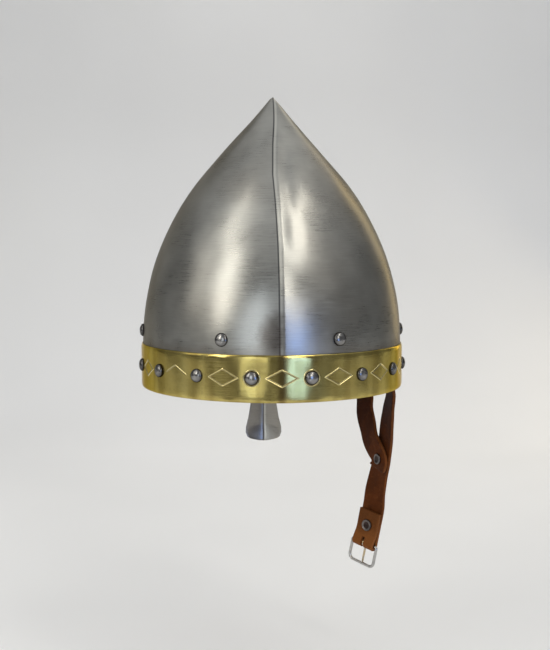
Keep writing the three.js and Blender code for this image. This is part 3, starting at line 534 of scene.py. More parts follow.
@once
def brass_material():
    """Polished brass: fine lines along the band, patches of tarnish, painted reflections as
    upright dark and bright bands, and painted shade in the fold at the back ridge.
    """
    g = Graph("brass_polished", metallic=1.0, Specular_Tint=(0.70, 0.58, 0.32, 1))
    lines = g.streaks((30, 3200), 3.0)
    cloud = g.cloud(38.0, 4.0)
    spots = g.cloud(260.0, 2.0, shift=(1, 4, 2))
    g.base((0.54, 0.44, 0.145), (0.43, 0.34, 0.10), cloud, 0.35, 0.7)
    g.wash((0.26, 0.19, 0.07), spots, 0.62, 0.74, 0.0, 0.5)
    g.wash((0.72, 0.61, 0.28), lines, 0.45, 0.65, 0.0, 0.25)
    # Painted reflections: upright dark and bright bands round the band, as of a room mirrored in
    # the brass.
    reflection_bands = g.noise(g.place(scale=(70, 5, 1)), roughness=0.4)
    g.wash((0.26, 0.19, 0.055), reflection_bands, 0.46, 0.58, 0.0, 0.5)
    g.wash((0.66, 0.55, 0.20), reflection_bands, 0.44, 0.36, 0.0, 0.5)
    # Painted shade: darker within about 4 mm of the back ridge, where the band bends over the
    # skull's crease.
    reach = g.ragged(g.math("ABSOLUTE", g.part(0)), cloud, 0.0008)
    g.wash((0.16, 0.10, 0.035), reach, 0.0010, 0.0042, 0.72, 0.0)
    rough = g.total((cloud, 0.3, 0.7, 0.10, 0.19), (lines, 0.35, 0.65, 0, 0.08))
    normal = g.bump(lines, 0.00006, 0.30)
    normal = g.bump(cloud, 0.0006, 0.12, normal)
    return g.finish(rough, normal)


@once
def chased_material():
    """Struck lines in the brass: the struck metal painted bright as the lips' highlight, and a
    painted shadow along the inner side of each line.
    """
    g = Graph("brass_struck_lines", metallic=1.0)
    across = g.part(1)
    grain = g.cloud(900.0, 3.0)
    # Painted shadow: dark along the inner lip of each struck line, broken up by grain. The rest is
    # painted bright as the lips' highlight.
    shadow_line = g.span(g.math("ABSOLUTE", g.math("ADD", across, 0.0003)), 0.0002, 0.0004, 0.85, 0.0)
    shadow_line = g.math("MULTIPLY", shadow_line, g.span(grain, 0.3, 0.6, 0.7, 1.0))
    g.tone = g.mix(shadow_line, (0.74, 0.64, 0.31), (0.09, 0.06, 0.02))
    rough = g.total((shadow_line, 0, 1, 0.16, 0.45), (grain, 0.3, 0.7, 0, 0.08))
    return g.finish(rough, g.bump(grain, 0.0001, 0.3))


@once
def rivet_material():
    """Dark hammered rivet steel, with a painted highlight on the crown and painted shade towards
    the head's edge.
    """
    g = Graph("steel_rivet", metallic=1.0, Specular_Tint=(0.35, 0.34, 0.33, 1))
    grain = g.cloud(420.0, 4.0)
    pits = g.cells(620.0)
    rise = g.part(1)
    g.base((0.22, 0.215, 0.21), (0.34, 0.33, 0.32), grain, 0.35, 0.68)
    # Painted highlight: the crown is paler, fading out 2.8 mm down the dome, in patches.
    crown_highlight = g.math("MULTIPLY", g.span(rise, 0.0, 0.0028, 0.6, 0.0), g.span(grain, 0.3, 0.7))
    g.lay(crown_highlight, (0.45, 0.44, 0.42))
    # Painted shade: darker from 2.6 mm down the dome to its edge, and dark on the shank and button
    # below.
    g.wash((0.045, 0.042, 0.042), rise, 0.0026, 0.0056, 0.0, 0.85)
    rough = g.total((grain, 0.3, 0.7, 0.17, 0.26), (pits, 0, 0.4, 0.06, 0))
    normal = g.bump(g.math("ADD", grain, pits), 0.00015, 0.25)
    return g.finish(rough, normal)


@once
def cap_material():
    """Blackened cap of a strap rivet: nearly black face, brown bloom, and a paler rim that is
    partly wear and partly a painted highlight.
    """
    g = Graph("steel_cap_blackened", metallic=1.0)
    grain = g.cloud(700.0, 4.0)
    rise = g.part(1)
    g.base((0.032, 0.022, 0.020), (0.075, 0.052, 0.046), grain, 0.35, 0.68)
    # Paler ring round the cap's rim, in patches: partly wear, partly a painted highlight.
    rim = g.math("MULTIPLY", g.span(rise, 0.0027, 0.0034), g.span(rise, 0.0052, 0.0044))
    rim = g.math("MULTIPLY", rim, g.span(grain, 0.3, 0.65, 0.35, 0.8))
    g.lay(rim, (0.26, 0.24, 0.23))
    rough = g.span(grain, 0.3, 0.7, 0.30, 0.44)
    return g.finish(rough, g.bump(grain, 0.00012, 0.3))


def leather(name, dark, light, tan, edge_share, grain_scale, along=None):
    """Leather: pebbled grain, cloudy dye, creases, and paler cut edges that the UV's v marks.

    along lists stretches of other colour by the UV's u: from, to, colour and share."""
    g = Graph(name, metallic=0.0, Specular_IOR_Level=0.05)
    cloud = g.cloud(60.0, 4.0)
    pebble = g.cells(grain_scale)
    crease = g.noise(g.place("Object", scale=(1, 1, 3)), scale=160.0, detail=5.0, distortion=1.5)
    g.base(dark, light, cloud, 0.32, 0.7)
    if along:
        reach = g.ragged(g.part(0), cloud, 0.008)
        for low, high, colour, share in along:
            g.wash(colour, reach, low, high, 0.0, share)
    g.wash(tan, crease, 0.55, 0.72, 0.0, 0.22)
    g.wash(dark, pebble, 0.25, 0.0, 0.0, 0.35)
    if edge_share:
        side = g.ragged(g.math("ABSOLUTE", g.part(1)), crease, 0.0003)
        g.wash(tan, side, (STRAP_HALF - 0.9) * MM, STRAP_HALF * MM, 0.0, edge_share)
    rough = g.total((cloud, 0.3, 0.7, 0.46, 0.60), (pebble, 0, 0.4, 0.12, 0))
    normal = g.bump(pebble, 0.00025, 0.5)
    normal = g.bump(crease, 0.0005, 0.35, normal)
    return g.finish(rough, normal)


@once
def strap_material():
    # The first two stretches lighten the strap from 145 mm along and darken it again from 192 mm.
    # The last two are painted shade: the strap darkens from 105 mm along to near black at 25 mm,
    # up towards its riveted tab inside the helmet.
    along = [(0.145, 0.172, (0.24, 0.085, 0.022), 0.75),
             (0.192, 0.212, (0.085, 0.028, 0.008), 0.7),
             (0.105, 0.055, (0.030, 0.007, 0.003), 0.85),
             (0.055, 0.025, (0.006, 0.001, 0.001), 0.97)]
    return leather("leather_strap", (0.068, 0.018, 0.004), (0.125, 0.034, 0.008),
                   (0.26, 0.095, 0.030), 0.35, 1100.0, along)


@once
def liner_material():
    return leather("leather_liner", (0.20, 0.11, 0.055), (0.33, 0.20, 0.11),
                   (0.42, 0.28, 0.17), 0.0, 900.0)


@once
def lace_material():
    return leather("leather_lace", (0.030, 0.018, 0.011), (0.065, 0.040, 0.025),
                   (0.12, 0.08, 0.05), 0.0, 1500.0)


@once
def thread_material():
    """Waxed linen thread: twisted fibre along each stitch."""
    g = Graph("thread_waxed")
    fibre = g.cloud(2400.0, 2.0)
    cloud = g.cloud(90.0, 2.0)
    g.base((0.36, 0.29, 0.19), (0.56, 0.48, 0.34), fibre, 0.35, 0.65)
    return g.finish(g.span(cloud, 0.3, 0.7, 0.55, 0.75), g.bump(fibre, 0.00012, 0.5))


def wire(name, marks, cloud, span, low, high, shine, **constants):
    """Metal wire: cloudy plating, with fine rubbing marks along it."""
    g = Graph(name, metallic=1.0, **constants)
    marks, cloud = g.streaks(marks, 3.0), g.cloud(*cloud)
    g.base(low, high, cloud, *span)
    rough = g.total((cloud, 0.3, 0.7, *shine), (marks, 0.4, 0.6, 0, 0.06))
    return g.finish(rough, g.bump(marks, 0.00004, 0.4))


@once
def nickel_material():
    """Bright plating."""
    return wire("nickel_bright", (400, 3000), (240.0, 3.0), (0.35, 0.7), (0.52, 0.51, 0.50),
                (0.40, 0.39, 0.37), (0.12, 0.22), Specular_Tint=(0.40, 0.39, 0.38, 1))


@once
def prong_material():
    """Brass colour, rubbed through in patches."""
    return wire("prong_worn_brass", (500, 2500), (420.0, 4.0), (0.4, 0.62), (0.62, 0.47, 0.25),
                (0.52, 0.49, 0.43), (0.20, 0.34))


@once
def paper_material():
    """Pale seamless paper with faint fibre."""
    g = Graph("studio_paper")
    fibre = g.cloud(300.0, 3.0)
    cloud = g.cloud(2.0, 2.0)
    g.base((0.80, 0.80, 0.80), (0.84, 0.84, 0.84), cloud, 0.3, 0.7)
    return g.finish(g.span(fibre, 0.3, 0.7, 0.85, 0.95), g.bump(fibre, 0.0002, 0.1))


# Skull

def seam_shift(turn, z):
    """Sideways drift of the back seam and of the tip, fading out round the sides."""
    drift = np.interp(z, SEAM_HEIGHTS, SEAM_DRIFTS)
    near = np.exp(-(np.abs(turn) / 0.5) ** 2)
    tip = smoothstep(z, TIP_FROM, APEX)
    return drift * near * (1 - tip) + TIP_DRIFT * tip


def hammer(turn, z, side, sizes):
    """How far the sheet stands off the true form: seam grind, hollows beside it, and planishing.

    Planishing is two products of sines, the grind a ramp, and each hollow a bell curve."""
    run = np.abs(turn) * HALF_WIDTH * profile_share(z)
    wave = (np.sin(5.1 * turn + 0.031 * z + side) * np.sin(0.043 * z + 1.7 * side)
            + 0.6 * np.sin(11.3 * turn - 0.052 * z) * np.sin(0.087 * z + 0.8))
    wave = sizes.unevenness / MM * wave * (1 - np.exp(-(run / 9) ** 2))
    if side > 0:
        strip = np.clip(1 - run / 3.8, 0, 1)
        grind = -sizes.seam_step / MM * strip
        dents = sum(depth * np.exp(-((run - way) / wide) ** 2 - ((z - height) / tall) ** 2)
                    for way, height, wide, tall, depth in HOLLOWS)
        return wave + grind - sizes.dent_depth / MM * dents
    proud = sizes.seam_step / MM * np.exp(-(run / 16) ** 2) * smoothstep(z, 90, 190)
    return wave + proud


def skull_half(side, sizes):
    """Half of the skull: the CAD's surface on a fine grid, with the seam's drift and hammer marks.

    The columns crowd towards both ridges: the share of the way less most of a sine wave."""
    crowding = 0.86
    share = np.linspace(0, 1, sizes.skull_columns + 1)
    turns = side * np.pi * (share - crowding * np.sin(2 * np.pi * share) / (2 * np.pi))
    heights = np.concatenate([np.linspace(0, APEX - 7, sizes.skull_rows),
                              APEX - np.array([5.0, 3.4, 2.2])])
    turn, z = np.meshgrid(turns, heights)
    away = hammer(turn, z, side, sizes)
    edge = 0.35 * np.exp(-(z / 0.5) ** 2)
    front = wall_point(turn, z, edge - away)
    back = wall_point(turn, z, STEEL - 0.4 * edge - 0.6 * away)
    on_seam = np.abs(np.sin(turn)) < 1e-6
    for grid in (front, back):
        grid[..., 0][on_seam] = 0
        grid[..., 0] += seam_shift(turn, z)
    tips = [np.broadcast_to((TIP_DRIFT, 0.0, height), (1, *front.shape[1:]))
            for height in (APEX - 0.25, APEX - STEEL / np.sin(TIP))]
    front, back = np.concatenate([front, tips[0]]), np.concatenate([back, tips[1]])
    around = np.stack([lengths_along(row) for row in front])
    return plate(front, back, uv_grid(side * around, lengths_along(front[:, 0])[:, None]))


def weld_bead():
    """Rippled bead inside the seam: a low half ellipse swept up the back and down the front.

    Its lift and its width each go up and down with the sine of the way along it."""
    foot = max(LINER_TOP, NASAL_ROW + BUTTON) + 2
    top = APEX - 2 / SLOPE
    sideways = np.array([1.0, 0, 0])
    ways = []
    for turn in (0.0, np.pi):
        z = np.linspace(foot, APEX - 8, 260)
        line = wall_point(np.full_like(z, turn), z, BEAD_DEPTH)
        line[:, 0] = seam_shift(np.full_like(z, turn), z) * (turn == 0)
        ways.append(line)
    crown = np.array([[1.0, 0, top - BEAD_DEPTH / np.sin(TIP)]])
    path = np.concatenate([ways[0], crown, ways[1][::-1]])
    path = spline(path[::6], 6)
    run = unit(np.gradient(path, axis=0))
    inward = unit(np.cross(run, sideways))
    inward *= np.sign(np.sum(inward * (90 * UP - path), 1))[:, None]
    length = lengths_along(path)
    across = np.linspace(-1, 1, 9)
    ripple = 1 + 0.16 * np.abs(np.sin(length * 1.1))[:, None]
    width = BEAD_HALF * (1 + 0.06 * np.sin(length * 0.7))[:, None]
    lift = BEAD_LIFT * ripple * np.sqrt(1 - 0.96 * across ** 2)
    back = path[:, None] + sideways * (across * width)[..., None]
    front = back + inward[:, None] * lift[..., None]
    return plate(front, back, uv_grid(length[:, None], across[None] * 2))


# Rim band and its struck ornament

def band_places():
    """Side, number from the back and turn of each rivet, evenly spaced with a pair at a ridge."""
    return [(side, k + 1, turn_at(side * (k + 0.5) / RIVETS, BAND_ROW))
            for side, _ in SIDES for k in range(RIVETS // 2)]


def band_lift(turn, z, sizes):
    """How far the band's face stands off the skull.

    Quarter rounds at both edges, two sine waves, and a round hollow that fades from each rivet."""
    low = np.clip(z / ROLL_LOW, 0, 1)
    high = np.clip((BAND_HEIGHT - z) / ROLL_HIGH, 0, 1)
    roll = quarter_round(low) * 0.75 + 0.25
    roll *= quarter_round(high) * 0.8 + 0.2
    wave = (np.sin(23 * turn + 0.11 * z) + 0.7 * np.sin(41 * turn - 0.07 * z + 1.3)) * low * high
    dish = 0
    for _, _, centre in band_places():
        off = (turn - centre) * level_metric(centre, BAND_ROW)
        dish = dish + np.exp(-(off ** 2 + (z - BAND_ROW) ** 2) / 7.5 ** 2)
    lift = GAP + (BRASS + 0.25) * roll + sizes.band_wave / MM * wave
    return lift - sizes.rivet_dish / MM * dish * low * high


def rim_band(sizes):
    """Strip round the wall with a narrow butt joint at the front."""
    butt = 0.5 / HALF_WIDTH
    turns = np.linspace(-np.pi + butt, np.pi - butt, 481)
    edge = 1 - np.cos(np.linspace(0, np.pi / 2, 6))
    flat = np.linspace(ROLL_LOW, BAND_HEIGHT - ROLL_HIGH, 13)[1:-1]
    heights = np.concatenate([ROLL_LOW * edge, flat, BAND_HEIGHT - ROLL_HIGH * edge[::-1]])
    turn, z = np.meshgrid(turns, heights)
    front = wall_point(turn, z, -band_lift(turn, z, sizes))
    return plate(front, wall_point(turn, z, -GAP), uv_grid(turn * BAND_RADIUS, z))


def struck(turn, outline, inner, sizes, closed=True):
    """Struck line on the band: an outline scaled in steps, two raised lips round a groove."""
    across = np.array([-0.75, -0.52, -0.34, -0.12, 0.0, 0.12, 0.30, 0.48, 0.70])
    rise = np.array([-0.03, 0.12, 0.20, 0.05, 0.0, 0.05, 0.20, 0.12, -0.03])
    scale = 1 + across[:, None] / inner
    off, up = outline[0] * scale, outline[1] * scale
    turns = turn + off / level_metric(turn, BAND_ROW)
    z = BAND_ROW + up
    lift = band_lift(turns, z, sizes)
    front = wall_point(turns, z, -(lift + sizes.struck_rise / MM * rise[:, None] / 0.2))
    back = wall_point(turns, z, -(lift - 0.25))
    reach = np.linspace(0, STRUCK_ROUND, off.shape[1])
    return plate(front, back, uv_grid(reach[None], across[:, None]), closed=closed)


def diamond_outline(whole):
    """Four straight sides from the left corner over the top, or only the two upper ones."""
    quarters = np.linspace(0, 4, 41) if whole else np.linspace(0, 2, 21)
    off, up = (-1, 0, 1, 0, -1), (0, 1, 0, -1, 0)
    return np.stack([np.interp(quarters, range(5), off) * DIAMOND_LENGTH,
                     np.interp(quarters, range(5), up) * DIAMOND_HEIGHT])


def band_ornament(sizes):
    """Diamonds between the rivets, one struck only on its upper half, and a ring at two rivets."""
    parts = []
    inner = DIAMOND_LENGTH * DIAMOND_HEIGHT / np.hypot(DIAMOND_LENGTH, DIAMOND_HEIGHT)
    for k in range(1 - RIVETS // 2, RIVETS // 2):
        turn = turn_at(k / RIVETS, BAND_ROW) if k else 0.0
        whole = k != HALF_STRUCK
        outline = diamond_outline(whole)
        outline[1] += 0.35 * np.sin(3.1 * k)
        parts.append(struck(turn, outline, inner, sizes, whole))
    angle = np.linspace(0, 2 * np.pi, 41)
    ring = np.stack([np.cos(angle), np.sin(angle)]) * RING_RADIUS
    for _, number, turn in band_places():
        if number == 1:
            parts.append(struck(turn, ring, RING_RADIUS, sizes))
    return join(parts)


# Rivets

def rivet(place, radius, height, head, button, seed, capped=False):
    """Rivet on its wall place: a domed head, a shank through the stack and a flat button inside.

    A capped one has a flat face, a little dished, inside a rolled rim."""
    point, normal = place
    bend = np.linspace(0, np.pi / 2, 11)
    dome = np.stack([radius * np.sin(bend), head + height * np.cos(bend) ** 0.9], 1)
    if capped:
        share = np.array([0, 0.3, 0.55, 0.68, 0.76, 0.84, 0.9, 0.95, 0.985, 1.0, 1.0])
        rise = np.array([0.42, 0.44, 0.5, 0.58, 0.68, 0.76, 0.76, 0.68, 0.5, 0.3, 0.1])
        dome = np.stack([radius * share, head + height * rise], 1)
    lip = [[radius * 0.985, head - LIP], [SHANK, head - LIP], [SHANK, button]]
    flat = [[BUTTON, button], [BUTTON, button - BUTTON_HEIGHT * 0.6],
            [BUTTON * 0.85, button - BUTTON_HEIGHT], [0, button - BUTTON_HEIGHT]]
    return lathe([*dome, *lip, *flat], point, normal, 40, wobble=0.012, seed=seed)


def wall_place(turn, z):
    """Point and outward normal on the skull's outer face."""
    return skull_point(turn, z), skull_normal(turn, z)


def washer(place, seat):
    """Flat ring with rounded edges, turned about the rivet."""
    point, normal = place
    outline = [[WASHER_HOLE, 0], [WASHER_HOLE + 0.3, 0.05], [WASHER_RADIUS - 0.3, 0.05],
               [WASHER_RADIUS, -0.15], [WASHER_RADIUS, 0.15 - WASHER],
               [WASHER_RADIUS - 0.3, -WASHER], [WASHER_HOLE + 0.2, -WASHER],
               [WASHER_HOLE, 0.15 - WASHER], [WASHER_HOLE, 0]]
    return lathe(np.array(outline) + [0, seat], point, normal, 32)


# Nasal

def nasal_shape():
    """Nose guard: a plate over the band with a cross foot, a stem up the ridge and a keeled drop.

    Its outline joins the knots, and the keel and the edges stand off by parts of circles."""
    z, half = np.array(NASAL_OUTLINE).T
    last = len(z) - 1
    spots = np.linspace(0, last, 6 * last + 1)
    fine, half = (np.interp(spots, range(last + 1), part) for part in (z, half))
    share, level = np.meshgrid(np.linspace(-1, 1, 33), fine)
    width = half[:, None]
    turn = np.pi - np.arcsin(share * width / HALF_WIDTH)
    step = 1.2 * (1 - smoothstep(level, BAND_HEIGHT - 0.6, BAND_HEIGHT + 4.5))
    drop = np.clip(-level / NASAL_DROP, 0, 1)
    keel = KEEL * smoothstep(drop, 0, 0.25) * (1 - 0.5 * smoothstep(drop, 0.8, 1))
    rounded = 1 - np.sqrt(share ** 2 + 0.02)
    crest = keel * rounded + 0.5 * smoothstep(-level, -70, -34) * rounded
    tongue = 2.6 * smoothstep(drop, 0.85, 1) * (1 - share ** 2)
    side = width * (1 - np.abs(share))
    ends = np.minimum(NASAL_TOP - level, level + NASAL_DROP)
    round_off = 0.75 * (1 - quarter_round(np.minimum(side, ends) / 1.1))

    def face(out):
        grid = wall_point(turn, np.maximum(level, 0), -(GAP + step + out))
        grid[..., 2] = level - tongue
        grid[..., 1] += crest
        return grid
    return plate(face(NASAL_PLATE - round_off), face(0.35 * round_off),
                 uv_grid(share * width, level))


# Liner

def headband():
    """Leather headband along the inside of the wall, its edges rounded."""
    edge = np.array([0, 0.3, 1, 2])
    heights = np.concatenate([LINER_LOW + edge, np.linspace(LINER_LOW + 4, LINER_TOP - 4, 8),
                              LINER_TOP - edge[::-1]])
    turn, z = np.meshgrid(np.linspace(-np.pi, np.pi, 241), heights)
    inwards = np.minimum(z - LINER_LOW, LINER_TOP - z)
    thick = LINER * (0.3 + 0.7 * quarter_round(inwards / 1.2))
    middle = STEEL + GAP + LINER / 2 + 0.15 * np.sin(9 * turn + 0.1 * z) ** 2 - 0.1
    front, back = (wall_point(turn, z, middle + half) for half in (thick / 2, -thick / 2))
    return plate(front, back, uv_grid(turn * LINER_RADIUS, z), closed=True)


def stitch_row(turns, z, depth):
    """Stitches along the headband's inner face, each lying along the level."""
    turns = np.asarray(turns)
    centres = wall_point(turns, np.full_like(turns, z), depth)
    along = unit(skull_point(turns + 0.01, z) - skull_point(turns - 0.01, z))
    return beads(centres, along, -skull_normal(turns, np.full_like(turns, z)), *STITCH)


LEAF_WIDTH = HALF_WIDTH * profile_share(LINER_TOP) - STEEL - GAP - LINER
LEAF_LENGTH = HALF_LENGTH * profile_share(LINER_TOP) - STEEL - GAP - LINER
LOOP = LACE + 2 * GAP + LINER / 2


def leaf_path():
    """Share of the leaf's root radius, offset, height and width share, from root to loop.

    The height follows a quarter sine, the share a power of the way, and the loop is an arc."""
    way = np.linspace(0, 1, LEAF_ROWS)
    z = LINER_TOP + GAP + (CROWN - LINER_TOP - GAP) * np.sin(way * np.pi / 2)
    share = 1 - (1 - CROWN_SHARE) * way ** LEAF_CURVE
    share = profile_share(z) / profile_share(LINER_TOP) * share
    width = np.interp(way, (0, 0.5, 1), (0.9, 0.68, 0.8)) + 0.02 * np.sin(2 * np.pi * way)
    angle = np.pi / 2 + np.linspace(0, 1.5 * np.pi, 25)[1:]
    ring = np.ones_like(angle)
    share = np.concatenate([share, ring * share[-1]])
    offset = np.concatenate([0 * way, LOOP * np.cos(angle)])
    z = np.concatenate([z, CROWN - LOOP + LOOP * np.sin(angle)])
    return share, offset, z, np.concatenate([width, ring * 0.8])


def leaf(centre, sizes):
    """One leaf: a strip that curves in from the headband and ends in a loop round the lace."""
    share, offset, z, width = leaf_path()
    radius = LEAF_WIDTH * share + offset
    run = unit(np.stack([np.gradient(radius), np.gradient(z)], 1))
    out = np.stack([run[:, 1], -run[:, 0]], 1)
    edge = np.array([0.95, 0.985, 1])
    columns = np.concatenate([-edge[::-1], np.linspace(-0.85, 0.85, 11), edge])
    turn = centre + columns[None] * width[:, None] * LEAF_HALF
    inwards = (1 - np.abs(columns)) * LEAF_HALF * LEAF_RADIUS
    thick = LINER / 2 * (0.35 + 0.65 * quarter_round(inwards))
    sag = sizes.leaf_sag / MM * np.sin(np.linspace(0, np.pi, LEAF_ROWS))
    sag = np.concatenate([sag, np.zeros(len(z) - LEAF_ROWS)])[:, None] * (1 - columns ** 2)

    def face(sign):
        shift = offset[:, None] + (sign * thick + sag) * out[:, :1]
        x = (LEAF_WIDTH * share[:, None] + shift) * np.sin(turn)
        y = -(LEAF_LENGTH * share[:, None] + shift) * np.cos(turn)
        level = z[:, None] + (sign * thick + sag) * out[:, 1:]
        return np.stack([x, y, level], -1)
    length = lengths_along(np.stack([radius, z], 1))
    return plate(face(1), face(-1), uv_grid(length[:, None], columns[None] * LEAF_WIDE))


def crown_lace(sizes):
    """Round lace through the leaves' loops, tied at the back, with two hanging ends.

    The tie is a trefoil knot, and each end falls along a part of a sine wave."""
    share = leaf_path()[0][-1]
    turn = np.linspace(0, 2 * np.pi, 160, endpoint=False)
    level = CROWN - LOOP
    ring = np.stack([LEAF_WIDTH * share * np.sin(turn), -LEAF_LENGTH * share * np.cos(turn),
                     np.full_like(turn, level)], 1)
    parts = [sweep(ring, UP, LACE, 12, True, **PLIES)]
    tie = np.array([0, -LEAF_LENGTH * share + 0.8, level])
    t = np.linspace(0, 2 * np.pi, 90, endpoint=False)
    knot = np.stack([np.sin(t) + 2 * np.sin(2 * t), 0.9 * np.sin(3 * t),
                     np.cos(t) - 2 * np.cos(2 * t)], 1)
    parts.append(sweep(tie + knot * 1.25, (0.13, 1.0, 0.21), LACE * 0.8, 10, True, **PLIES))
    fall = np.linspace(0, 1, 28)
    for side in (-1, 1):
        out = 1.5 + 4.5 * np.sin(2.4 * fall) * (1 + 0.3 * side)
        down = -3 - sizes.lace_tail / MM * fall * (1 - 0.12 * side)
        tail = np.stack([side * (1.5 + 3.2 * fall), out, down], 1)
        parts.append(sweep(tie + tail, (0, 1.0, 0.3), LACE * 0.85, 10, False, **PLIES))
    return join(parts)


# Chin straps

def across_at(turn, twist):
    """Level direction along the wall at a turn, turned towards the wearer by a twist."""
    along = -unit([np.cos(turn) / HALF_LENGTH, np.sin(turn) / HALF_WIDTH, 0])
    cosine, sine = np.cos(twist), np.sin(twist)
    return np.array([along[0] * cosine - along[1] * sine, along[0] * sine + along[1] * cosine, 0])


class StrapPlan:
    """Places of the right-hand strap, as in the CAD: roots, bar, joint and swing line."""

    def __init__(self):
        self.turns = [turn_at((k - 0.5) / RIVETS, BAND_ROW) for k in STRAP_RIVETS]
        self.depth = STEEL + GAP + FACET_SAG
        self.roots = [wall_point(turn, 0, self.depth + STRAP / 2) for turn in self.turns]
        self.root_across = [across_at(turn, 0) for turn in self.turns]
        line = self.roots[1] - self.roots[0]
        self.span, self.line = np.linalg.norm(line), unit(line)
        self.inward = np.array([-self.line[1], self.line[0], 0])
        self.way, self.way_across = [self.roots[0] - GAP * UP], [self.root_across[0]]
        for drop, along, lean, twist in STRAP_WAY:
            self.way.append(self.point(drop, along, lean))
            self.way_across.append(across_at(self.turns[0], twist * TWIST))
        end, top = self.point(1, 1, 1), self.point(0.81, 0.82, 0.42)
        self.up = unit(top - end)
        across = across_at(self.turns[0], TWIST)
        self.across = unit(across - self.up * (across @ self.up))
        self.face = np.cross(self.across, self.up)
        self.bar = end + self.face * FOLD_RADIUS
        self.joint, self.joint_across = self.way[JOINT], self.way_across[JOINT]
        self.joint_run = unit(self.way[JOINT + 1] - self.way[JOINT - 1])
        self.joint_face = -unit(np.cross(self.joint_across, self.joint_run))
        corners = [((middle + side * STRAP_HALF * across) - self.roots[0]) @ self.inward
                   for middle, across in zip(self.roots, self.root_across) for side in (-1, 1)]
        self.swing = self.roots[0] + self.line * self.span / 2
        self.swing = self.swing + self.inward * (max(corners) + STRAP / 2 + FACET_SAG)
        self.swing[2] = -GAP

    def point(self, drop, along, lean):
        """Point at shares of the bar's drop, of its drift along the line and of its lean."""
        point = self.roots[0] + self.line * (along * DRIFT) + self.inward * (lean * LEAN)
        return np.array([point[0], point[1], -drop * BAR_DROP])

    def on_bar(self, x, rise, out):
        """Point by millimetres along the bar, up the strap and out of its face."""
        return self.bar + self.across * x + self.up * rise + self.face * out

    def tab(self, k):
        """Riveted end inside the wall, from its top down to the bend."""
        heights = [TAB_TOP, 20.0, 11.0, BEND_TOP]
        middles = [wall_point(self.turns[k], z, self.depth + STRAP / 2) for z in heights]
        return middles, [self.root_across[k]] * len(heights)

    def leg(self):
        """From the second root down to the joint, and along the strap past it."""
        root_across = self.root_across[1]
        level = (self.joint - self.roots[0]) * [1, 1, 0]
        to_root = self.line * self.span - level
        middles, acrosses = [self.roots[1] - GAP * UP], [root_across]
        for drop, reach, step, turn in LEG_WAY:
            middle = self.roots[0] + level + to_root * reach
            middle[2] = drop * self.joint[2]
            onto = step * (STRAP + 2 * GAP - reach * (to_root @ self.joint_face))
            middles.append(middle + self.joint_face * onto)
            acrosses.append(unit(root_across * (1 - turn) + self.joint_across * turn))
        end = middles[-1] + self.joint_run * LEG_OVERLAP
        return middles + [end], acrosses + [acrosses[-1]]

    def fold(self):
        """From the straight stretch round the bar and up the turn-back."""
        stack = -FOLD_RADIUS + STRAP + GAP
        angles = np.linspace(0, np.pi, 9)
        ways = [(31.3, -FOLD_RADIUS), (16.0, -FOLD_RADIUS)]
        ways += [(-FOLD_RADIUS * np.sin(a), -FOLD_RADIUS * np.cos(a)) for a in angles]
        ways += [(SLOT_RISE, (FOLD_RADIUS + stack) / 2), (11.0, stack), (20.0, stack),
                 (TURN_BACK, stack)]
        return [self.on_bar(0, rise, out) for rise, out in ways], [self.across] * len(ways)


class Ribbon:
    """Strip of leather along stations: a smooth middle line with a level and a face direction.

    The run that squares the level is averaged over ease millimetres each way, so that a sharp turn
    within the leather's plane doesn't fold its inner edge."""

    def __init__(self, middles, acrosses, ease=0.0):
        self.middle = spline(middles, 10)
        self.reach = lengths_along(self.middle)
        across = spline(acrosses, 10)
        run = unit(np.gradient(self.middle, axis=0))
        spots = self.reach + np.linspace(-ease, ease, 9)[:, None]
        run = np.stack([np.interp(spots, self.reach, run[:, k]).mean(0) for k in range(3)], -1)
        run = unit(run)
        self.level = unit(across - run * np.sum(across * run, 1)[:, None])
        self.face = np.cross(run, self.level)

    def at(self, reach, across, out):
        """Point by the way along the strip, across it and out of its face."""
        pick = [np.stack([np.interp(reach, self.reach, part[:, k]) for k in range(3)], -1)
                for part in (self.middle, self.level, self.face)]
        return pick[0] + pick[1] * across[..., None] + pick[2] * out[..., None]

    def nearest(self, point):
        """Way along to the station nearest a point."""
        return self.reach[np.argmin(np.linalg.norm(self.middle - point, axis=1))]


